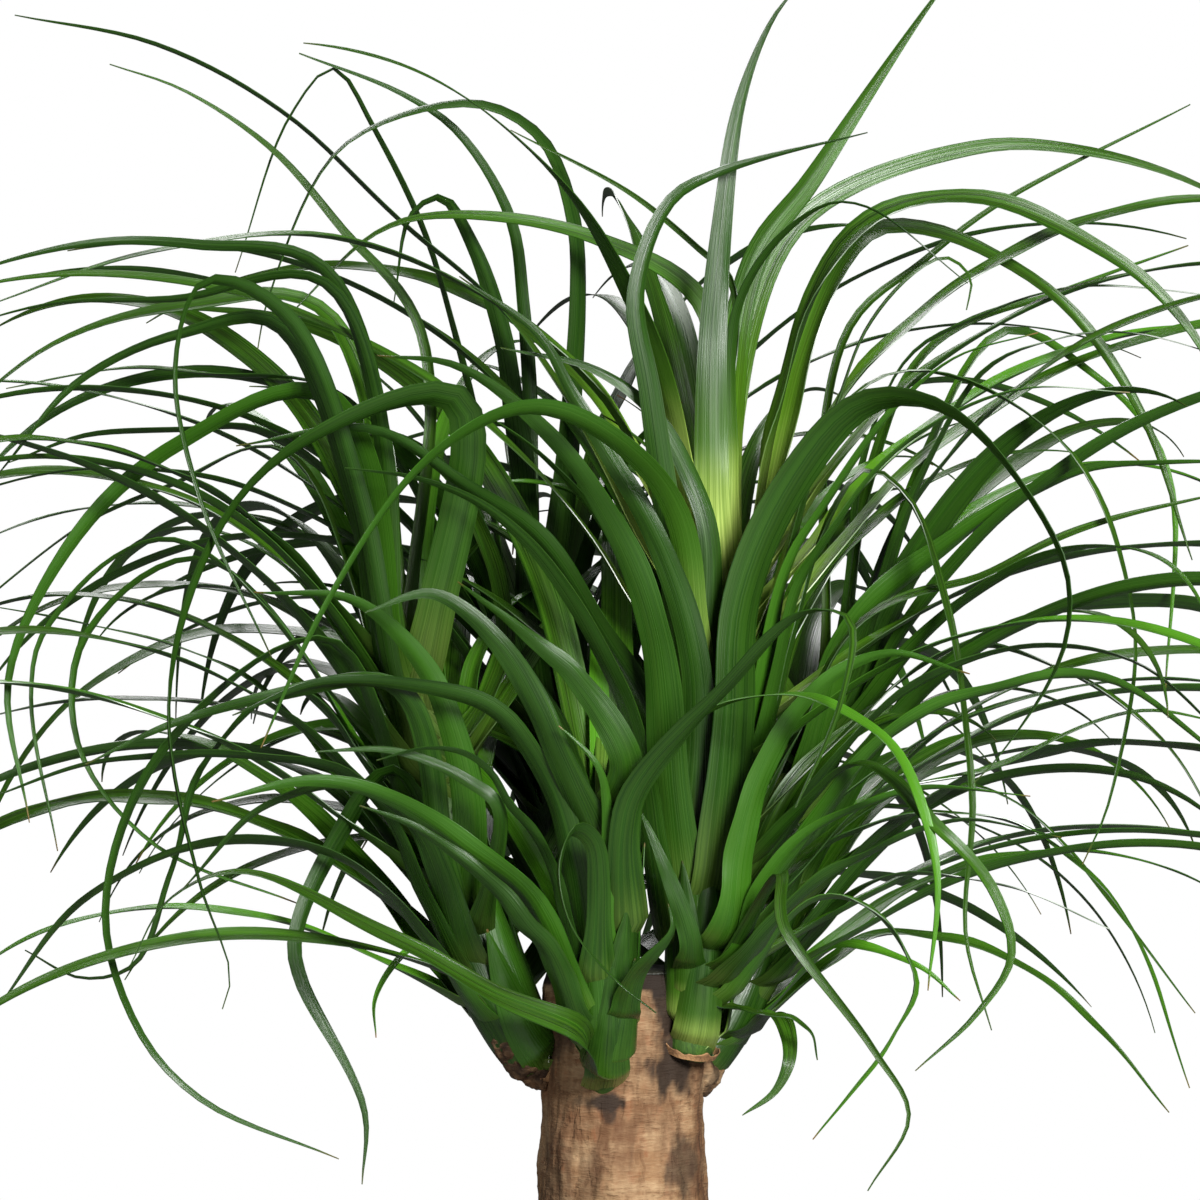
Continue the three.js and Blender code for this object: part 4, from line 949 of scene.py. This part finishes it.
def bladeSpots(leaf, draw):
    share = np.linspace(0, 1, blade["along"] + 1)
    reached = np.linalg.norm(np.diff(leaf["path"], axis=0), axis=1).sum()
    ease = np.clip(share / (blade["baseShare"] * min(1.0, blade["fullLength"] / reached)), 0, 1)
    ease = ease * ease * (3 - 2 * ease)
    if "stand" in leaf:  # a sheath clasps the stem for most of its length
        ease = 0.5 * share * share
    least, most = (leaf["width"] * count for count in blade["baseWidths"])
    base = max(least, min(blade["baseWidth"], most))
    half = mix(base, leaf["width"], ease) * (1 - share ** blade["taper"]) / 2 + blade["tip"]
    clasp = base / 2 / (stemRadius(leaf["share"]) + blade["sheathLift"])
    bend = mix(clasp, blade["cup"] * mix(*blade["cups"], draw()), ease)
    crease = blade["crease"] * mix(*blade["creases"], draw()) * ease
    waves = mix(*blade["waves"], draw())
    phase = 2 * math.pi * draw()
    ripple = blade["ripple"] * np.sin(2 * math.pi * waves * share + phase) * ease
    lean = 0.8 * blade["ripple"] * np.sin(2 * math.pi * (waves * 0.7) * share + 2.1 * phase) * ease
    u = np.linspace(-1, 1, blade["across"] + 1)[None, :]
    half, bend, crease, ripple, lean = (row[:, None] for row in (half, bend, crease, ripple, lean))
    sideways = half * np.sin(u * bend) / bend
    upwards = half * ((1 - np.cos(u * bend)) / bend + crease * (np.sqrt(u * u + 0.03) - 0.17))
    upwards = upwards + half * (ripple * u * u * 2 + lean * u * 2)
    sides, faces = sidesAlong(leaf["path"], leaf["twist"], leaf.get("roll", 0), leaf.get("side"))
    out = leaf["out"] if "out" in leaf else level(leaf["bearing"])
    middle = leaf["path"] + liftOf(leaf, share * reached)[:, None] * out
    across = sides[:, None, :] * sideways[..., None]
    return middle[:, None, :] - across + faces[:, None, :] * upwards[..., None]


def addBlade(bm, leaf, marks, draw):
    spots = bladeSpots(leaf, draw) * mm
    count = blade["across"] + 1
    grid = bmesh.ops.create_grid(
        bm, x_segments=blade["across"], y_segments=blade["along"], size=0.5, calc_uvs=True
    )
    for i, vert in enumerate(grid["verts"]):
        vert.co = spots[i // count][i % count]
        vert[marks["toneAndShade"]] = leaf["toneAndShade"]
        vert[marks["youth"]] = leaf["youth"]


def thickened(bm, thickness, under):
    tops = len(bm.faces)
    bmesh.ops.solidify(bm, geom=bm.faces[:], thickness=thickness * mm)
    for i, face in enumerate(bm.faces):
        face[under] = 0.0 if i < tops else 1.0
    for edge in bm.edges:
        if edge.calc_face_angle(0.0) > 1.0:
            edge.smooth = False


def leavesPiece(name, leaves, seed):
    draw = drawsFrom(seed)
    bm = bmesh.new()
    bm.loops.layers.uv.new("leaf")
    marks = {mark: bm.verts.layers.float.new(mark) for mark in ("toneAndShade", "youth")}
    under = bm.faces.layers.float.new("under")
    youngFrom, youngBy = blade["ages"]
    for leaf in leaves:
        # The highest leaves are darkened as painted shade; otherwise how dark a leaf is, is drawn at random.
        high = leaf["path"][:, 2].max() > cutHeight + blade["high"]
        leaf["toneAndShade"] = draw() ** blade["toneBias"] * (blade["paintedShadeTone"] if high else 1)
        youth = within((leaf["share"] - youngFrom) / (youngBy - youngFrom))
        leaf.setdefault("youth", blade["youth"].get(name, 0.1) * youth)
        addBlade(bm, leaf, marks, draw)
    thickened(bm, blade["thickness"], under)
    return finishedObject(name, bm, leafSkin)


def bentGrid(spotAt, around, along, caps=True):  # a grid rolled up into a closed skin; spotAt(turn, share)
    bm = bmesh.new()
    grid = bmesh.ops.create_grid(bm, x_segments=around, y_segments=along, size=0.5)
    for i, vert in enumerate(grid["verts"]):
        vert.co = Vector(spotAt(2 * math.pi * (i % (around + 1)) / around, i // (around + 1) / along)) * mm
    bmesh.ops.remove_doubles(bm, verts=bm.verts[:], dist=0.002 * mm)
    if caps:
        bmesh.ops.holes_fill(bm, edges=[edge for edge in bm.edges if edge.is_boundary], sides=0)
    bmesh.ops.recalc_face_normals(bm, faces=bm.faces[:])
    return bm


stemMesh = {"around": 28, "along": 60, "scars": 0.05, "feet": {"front": 6, "left": 7}}


def stemPiece(name):
    stem = stemCurve(shoots[name])
    centres = [stem(k / stemMesh["along"]) for k in range(stemMesh["along"] + 1)]
    sides, faces = sidesAlong(np.array(centres), 0)

    def spotAt(turn, share):
        k = round(share * stemMesh["along"])
        ring = 1 + stemMesh["scars"] * math.sin(share * 90) * math.sin(turn * 2 + share * 30)
        radius = stemRadius(share, stemMesh["feet"].get(name)) * ring
        return centres[k] + sides[k] * radius * math.cos(turn) + faces[k] * radius * math.sin(turn)

    bm = bentGrid(spotAt, stemMesh["around"], stemMesh["along"])
    return finishedObject("stem_" + name, bm, stemSkin)


trunk = {
    "foot": 164,
    "profile": [
        (34, 0), (58, 8), (71, 24), (76, 46), (74, 76), (66, 112), (55, 152), (47, 192), (43, 236), (41, 290),
        (40, 335), (41, 368), (38, 376),
    ],
    "easing": 14,  # of the profile's corners
    "sides": 220,
    "rings": 300,
    "furrowDepth": 2.0,
    "wrinkleDepth": 0.6,
    "crackDepth": 0.7,
    "crackWidth": 0.05,
    "rim": 531,  # above it the bark is stained by the wax
    "calm": 535,  # above it the furrows fade, so that the cut's edge is round
    "damp": 260,  # below it the bark darkens
    "mossTop": 450,
    "upTheSide": 0.97,  # the share of the rings that are not in the cut top
    "seed": 4.7,
}


def trunkRadius(height):  # the column's outline, its corners eased
    radii, rises = zip(*trunk["profile"])
    window = np.linspace(-trunk["easing"], trunk["easing"], 15)
    rise = height - trunk["foot"]
    room = within(min(rise, rises[-2] - rise) / trunk["easing"])
    return float(np.interp(rise + window * room, rises, radii).mean())


def barkRelief(angle, height):
    return (
        0.018 * math.sin(3 * angle + height / 60)
        + 0.012 * math.sin(7 * angle - height / 35)
        + 0.01 * math.sin(height / 11)
    )


# Dark runs of sap and wax on the front, and painted shade behind the right shoot and under the husk ring, the
# front foot and the left knob: across, height, half width, half height, how dark.
stainsAndShade = [
    (21, 522, 7, 42, 0.95),
    (26, 493, 13, 11, 0.95),
    (30, 446, 8, 18, 0.72),
    (-16, 440, 8, 16, 0.3),
    (-9, 477, 11, 5, 0.95),
    (-7, 471, 4, 5, 0.8),
    (-32, 436, 8, 26, 0.35),
    (-38, 508, 14, 16, 0.7),
]


def stretched(spot, wide, tall):  # the place in a noise whose patches are that wide and tall
    return Vector((spot.x / wide, spot.y / wide, spot.z / tall))


# Dark runs of sap and wax, mixed with painted shade under and behind the shoots' feet; the back is only
# mottled at random.
def stainAndShadeAt(spot):
    if spot.y > 0:
        return within(2 * noise.noise(stretched(spot, 20, 60)) - 0.3, 0.0, 0.6)
    ragged = 0.5 * noise.fractal(stretched(spot, 8, 18), 0.8, 2.0, 4)
    dark = 0.0
    for across, height, halfWidth, halfHeight, strength in stainsAndShade:
        away = math.hypot((spot.x - across) / halfWidth, (spot.z - height) / halfHeight) + ragged
        dark = max(dark, strength * within((1.1 - away) / 0.45))
    return dark


def barkAt(angle, height):  # radius, and how cracked, stained and mossy the bark is there, with painted shade in the cracks and under and behind the shoots
    radius = trunkRadius(height) * (1 + barkRelief(angle, height))
    spot = Vector((radius * math.cos(angle), radius * math.sin(angle), height))
    shifted = spot + Vector((0, 0, 100 * trunk["seed"]))
    furrow = noise.fractal(stretched(shifted, 15, 60), 1.0, 2.0, 4)
    wrinkle = noise.fractal(stretched(shifted, 15, 7), 0.9, 2.1, 3)
    seam = abs(noise.noise(stretched(shifted, 20, 150) + Vector((5, 3, 8))))
    broken = noise.noise(stretched(shifted, 12, 18))
    # The cracks are carved in, and the same mask paints shade into them.
    crackAndShade = within(1 - seam / trunk["crackWidth"]) * within(0.2 + 1.5 * broken)
    push = trunk["furrowDepth"] * furrow + trunk["wrinkleDepth"] * wrinkle - trunk["crackDepth"] * crackAndShade
    push *= within((cutHeight - height) / (cutHeight - trunk["calm"]))
    rim = within((height - trunk["rim"] - 5 * wrinkle) / 4)
    damp = within((trunk["damp"] - height) / 60) * 0.35
    moss = max(0.0, furrow - 0.1) * within((trunk["mossTop"] - height) / 90, 0.0, 0.9) * 0.8
    return radius + push, min(1.0, crackAndShade * 0.35), min(1.0, stainAndShadeAt(spot) + rim + damp), min(0.6, moss)


def trunkPiece():
    top = trunk["foot"] + trunk["profile"][-1][1]
    side = trunk["upTheSide"]

    def spotAt(turn, share):
        if share > side:  # the sawn top
            height, radius = top, (barkAt(turn, top)[0] - 0.5) * (1 - (share - side) / (1 - side))
        else:
            height = mix(trunk["foot"], top, share / side)
            radius = barkAt(turn, height)[0]
        return radius * math.cos(turn), radius * math.sin(turn), height

    bm = bentGrid(spotAt, trunk["sides"], trunk["rings"])
    marks = [bm.verts.layers.float.new(mark) for mark in ("crackAndShade", "stainAndShade", "moss")]
    for vert in bm.verts:
        spot = vert.co / mm
        shades = barkAt(math.atan2(spot.y, spot.x), spot.z)[1:]
        for mark, shade in zip(marks, shades):
            vert[mark] = shade
    return finishedObject("bark_trunk", bm, barkSkin)


knobs = {  # the woody lumps that the shoots grow from: middles and radii
    "right": [((26, -12, 488), 10)],
    "front": [((-9, -29, 481), 8)],
    "left": [((-55, -14, 506), 11), ((-48, -11, 499), 12), ((-41, -9, 491), 9)],
    "back_right": [((37, 20, 489), 13)],
    "back": [((-6, 42, 490), 15)],
}
knob = {
    "rough": 2.6,
    "grain": 1.5,
    "marks": {"crackAndShade": (0.8, 3), "stainAndShade": (1.3, 9), "moss": (0.0, 9)},  # how strong, and how large
}


def knobPiece(name):
    bm = bmesh.new()
    for middle, radius in knobs[name]:
        middle = Vector(middle)
        made = bmesh.ops.create_icosphere(bm, subdivisions=5, radius=1)
        for vert in made["verts"]:
            way = vert.co.normalized()
            swell = noise.fractal(way * knob["grain"] + middle / 10, 1.0, 2.0, 5)
            vert.co = (middle + way * (radius + knob["rough"] * swell)) * mm
    for mark, (share, grain) in knob["marks"].items():
        layer = bm.verts.layers.float.new(mark)
        for vert in bm.verts:
            vert[layer] = within(share * (0.25 + noise.noise(vert.co / mm / grain)), 0.0, 0.8)
    return finishedObject("knob_" + name, bm, barkSkin)


husk = {
    "shoots": ("right", "left", "back_right", "back"),
    "share": 0.01,
    "height": 4,
    "ragged": 3,
    "lift": 1.2,
    "wall": 0.6,
    "flare": 0.4,
    "sunk": 3,
    "around": 90,
    "along": 24,
}


def huskPiece(name):  # the papery ring round a shoot's foot
    stem = stemCurve(shoots[name])
    foot = stem(husk["share"])
    rise = risingAt(stem, husk["share"], 0, 0.05)
    side = unit(np.cross(rise, (0, 0, 1)))
    front = np.cross(side, rise)
    inner = stemRadius(husk["share"], stemMesh["feet"].get(name)) + husk["lift"]

    def spotAt(turn, share):
        way = Vector((1.6 * math.cos(turn), 1.6 * math.sin(turn), len(name)))
        edge = husk["height"] + husk["ragged"] * noise.fractal(way, 1.0, 2.0, 3)
        up = edge * (1 - abs(2 * share - 1))
        outer = husk["wall"] if share > 0.5 else 0.0
        radius = inner + husk["flare"] * up + outer + 0.8 * noise.noise(Vector((2 * turn, up / 5, 1)))
        ring = side * radius * math.cos(turn) + front * radius * math.sin(turn)
        return foot + ring + rise * (up - husk["sunk"])

    bm = bentGrid(spotAt, husk["around"], husk["along"], caps=False)
    return finishedObject("husk_" + name, bm, dryLeaf)


wax = {"radius": 37, "thickness": 2.6, "lift": 0.3, "ragged": 1.6, "lumps": 0.5, "around": 120, "along": 60}


def waxPiece():
    def spotAt(turn, share):
        way = Vector((math.cos(turn) * 2, math.sin(turn) * 2, 3))
        edge = wax["radius"] + wax["ragged"] * noise.noise(way)
        inside = share / 0.5 if share <= 0.5 else (1 - share) / 0.5
        across, depth = edge * inside * math.cos(turn), edge * inside * math.sin(turn)
        height = cutHeight + wax["lift"]
        if share > 0.5:
            height += wax["thickness"] * (1 - 0.75 * inside**8)
            height += wax["lumps"] * noise.noise(Vector((across / 6, depth / 6, 1)))
        return across, depth, height

    bm = bentGrid(spotAt, wax["around"], wax["along"], caps=False)
    return finishedObject("wax_cap", bm, blackWax)


pot = {
    "height": 230,
    "footRadius": 88,
    "mouthRadius": 122,
    "wall": 8,
    "rimHeight": 36,
    "rimRadius": 133,
    "holes": 4,
    "holeRadius": 7,
    "holeCircle": 48,
    "edge": 1.6,  # radius of its rounded edges
    "unevenness": 0.25 / 110,  # of thrown clay, as a share of the radius
    "steps": 128,
}


def potRadius(height):
    return mix(pot["footRadius"], pot["mouthRadius"], height / pot["height"])


def spun(profile, steps):  # [radius, height] pairs turned about the upright axis
    bm = bmesh.new()
    verts = [bm.verts.new((radius * mm, 0, height * mm)) for radius, height in profile]
    edges = [bm.edges.new(pair) for pair in zip(verts, verts[1:])]
    turn = {"cent": (0, 0, 0), "axis": (0, 0, 1), "angle": 2 * math.pi}
    bmesh.ops.spin(bm, geom=verts + edges, steps=steps, use_merge=True, **turn)
    bmesh.ops.remove_doubles(bm, verts=bm.verts[:], dist=0.01 * mm)
    bmesh.ops.recalc_face_normals(bm, faces=bm.faces[:])
    return bm


def rounded(corners, radius, steps=4):  # the profile's inner corners, each turned into a short arc
    corners = [np.array(corner, float) for corner in corners]
    eased = [corners[0]]
    for before, corner, after in zip(corners, corners[1:], corners[2:]):
        cut = min(radius, np.linalg.norm(before - corner) / 2.2, np.linalg.norm(after - corner) / 2.2)
        start, end = corner + unit(before - corner) * cut, corner + unit(after - corner) * cut
        for t in np.linspace(0, 1, steps + 1):
            eased.append(start * (1 - t) ** 2 + corner * 2 * t * (1 - t) + end * t * t)
    return [tuple(spot) for spot in [*eased, corners[-1]]]


def drillsObject():
    bm = bmesh.new()
    radius, depth = pot["holeRadius"] * mm, 3 * pot["wall"] * mm
    for i in range(pot["holes"]):
        angle = (i + 0.5) * 2 * math.pi / pot["holes"]
        made = bmesh.ops.create_cone(
            bm, cap_ends=True, segments=24, radius1=radius, radius2=radius, depth=depth
        )
        spot = Vector((math.cos(angle), math.sin(angle), 0)) * pot["holeCircle"] * mm
        bmesh.ops.translate(bm, verts=made["verts"], vec=spot)
    return finishedObject("drills", bm, clay)


def drained(piece):  # the pot with its holes cut
    drills = drillsObject()
    cut = piece.modifiers.new("drain", "BOOLEAN")
    cut.object = drills
    cut.solver = "EXACT"
    bpy.context.view_layer.update()
    mesh = bpy.data.meshes.new_from_object(piece.evaluated_get(bpy.context.evaluated_depsgraph_get()))
    piece.modifiers.clear()
    piece.data = mesh
    bpy.data.objects.remove(drills)
    return piece


def potPiece():
    rimFoot = pot["height"] - pot["rimHeight"]
    floor = potRadius(pot["wall"]) - pot["wall"]
    profile = [
        (0, 0),
        (pot["footRadius"], 0),
        *[(potRadius(h), h) for h in np.linspace(3, rimFoot, 24)],
        (pot["rimRadius"], rimFoot),
        (pot["rimRadius"], pot["height"]),
        (pot["mouthRadius"] - pot["wall"], pot["height"]),
        (floor, pot["wall"]),
        (0, pot["wall"]),
    ]
    bm = spun(rounded(profile, pot["edge"]), pot["steps"])
    for vert in bm.verts:
        if vert.co.z > 4 * mm:
            turn = math.atan2(vert.co.y, vert.co.x)
            way = Vector((math.cos(turn), math.sin(turn), vert.co.z / mm / 9))
            vert.co.xy *= 1 + pot["unevenness"] * noise.noise(way)
    return drained(finishedObject("clay_pot", bm, clay))


soil = {
    "top": 204,
    "mound": 5,
    "moundFrom": 112,  # the radius where it starts to rise towards the trunk
    "moundSpan": 40,  # how much nearer to the trunk it is full
    "lumps": 1.6,
    "lumpSize": 14,
    "sunk": 1.2,
    "gap": 0.6,  # to the pot
    "bare": 79,  # the radius, round the trunk, that is kept free of crumbs
    "margin": 4,  # kept free of them at the pot
    "seed": 5,
}


def soilHeight(x, y):
    rise = soil["top"] + soil["mound"] * within((soil["moundFrom"] - math.hypot(x, y)) / soil["moundSpan"])
    spot = Vector((x / soil["lumpSize"], y / soil["lumpSize"], 0))
    return rise + soil["lumps"] * noise.fractal(spot, 1.0, 2.0, 4) - soil["sunk"]


def soilPiece():
    wall, floor = (potRadius(h) - pot["wall"] - soil["gap"] for h in (soil["top"], pot["wall"]))
    inner = [(trunkRadius(h) * 1.03 + 1, h) for h in np.linspace(trunk["foot"] + 4, soil["top"] - 4, 8)]
    top = [(mix(inner[-1][0], wall, t), soil["top"]) for t in np.linspace(0, 1, 40)]
    under, bottom = trunk["foot"] - 1, pot["wall"] + 0.4
    bm = spun([(0, under), (36, under), *inner, *top, (floor, bottom), (0, bottom)], 160)
    for vert in bm.verts:
        if vert.co.z > (soil["top"] - 1) * mm:
            vert.co.z = soilHeight(vert.co.x / mm, vert.co.y / mm) * mm
    return finishedObject("soil_bed", bm, earth)


crumbs = {
    "soil_crumbs": {"count": 700, "sizes": (1.0, 4.5), "material": earth, "seed": soil["seed"]},
    "soil_perlite": {"count": 70, "sizes": (0.8, 2.2), "material": perlite, "seed": soil["seed"] + 1},
}


def crumbsPiece(name, count, sizes, material, seed):
    draw = drawsFrom(seed)
    wall = potRadius(soil["top"]) - pot["wall"] - soil["margin"]
    bm = bmesh.new()
    for _ in range(count):
        angle, reach = 2 * math.pi * draw(), math.sqrt(mix(soil["bare"] ** 2, wall**2, draw()))
        x, y = reach * math.cos(angle), reach * math.sin(angle)
        size = mix(*sizes, draw() ** 2)
        made = bmesh.ops.create_icosphere(bm, subdivisions=1, radius=1)
        squash = Vector((1, 0.6 + 0.4 * draw(), 0.5 + 0.3 * draw()))
        turn = Euler((0, 0, draw() * math.pi))
        middle = Vector((x, y, soilHeight(x, y) + 0.2 * size))
        for vert in made["verts"]:
            bulge = 1 + 0.3 * noise.noise(vert.co * 2 + middle)
            spot = vert.co * squash * size * bulge
            spot.rotate(turn)
            vert.co = (middle + spot) * mm
    return finishedObject(name, bm, material)


def fit(piece, slot, *nodes):  # rides on the plant, in place of these nodes
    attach(piece, "root")
    if nodes:
        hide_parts(*nodes)


crown = {name: leavesOf(name) for name in shoots}
print("leaves of the solids:", {name: len(leaves) for name, leaves in crown.items()})
addFilling(crown)
addSheaths(crown)
for name, leaves in crown.items():
    fit(leavesPiece("leaves_" + name, leaves, shootSeeds[name]), "leaf", "shoot_" + name)
    fit(stemPiece(name), "leaf")
    fit(knobPiece(name), "bark")
    if name in husk["shoots"]:
        fit(huskPiece(name), "bark")
    print("shoot", name, len(leaves), "leaves")

fit(trunkPiece(), "bark", "trunk")
fit(waxPiece(), "wax", "cut_seal")
print("trunk ready")
fit(potPiece(), "clay", "pot")
fit(soilPiece(), "soil", "soil")
for name, made in crumbs.items():
    fit(crumbsPiece(name, **made), "soil")
print("pot and soil ready")
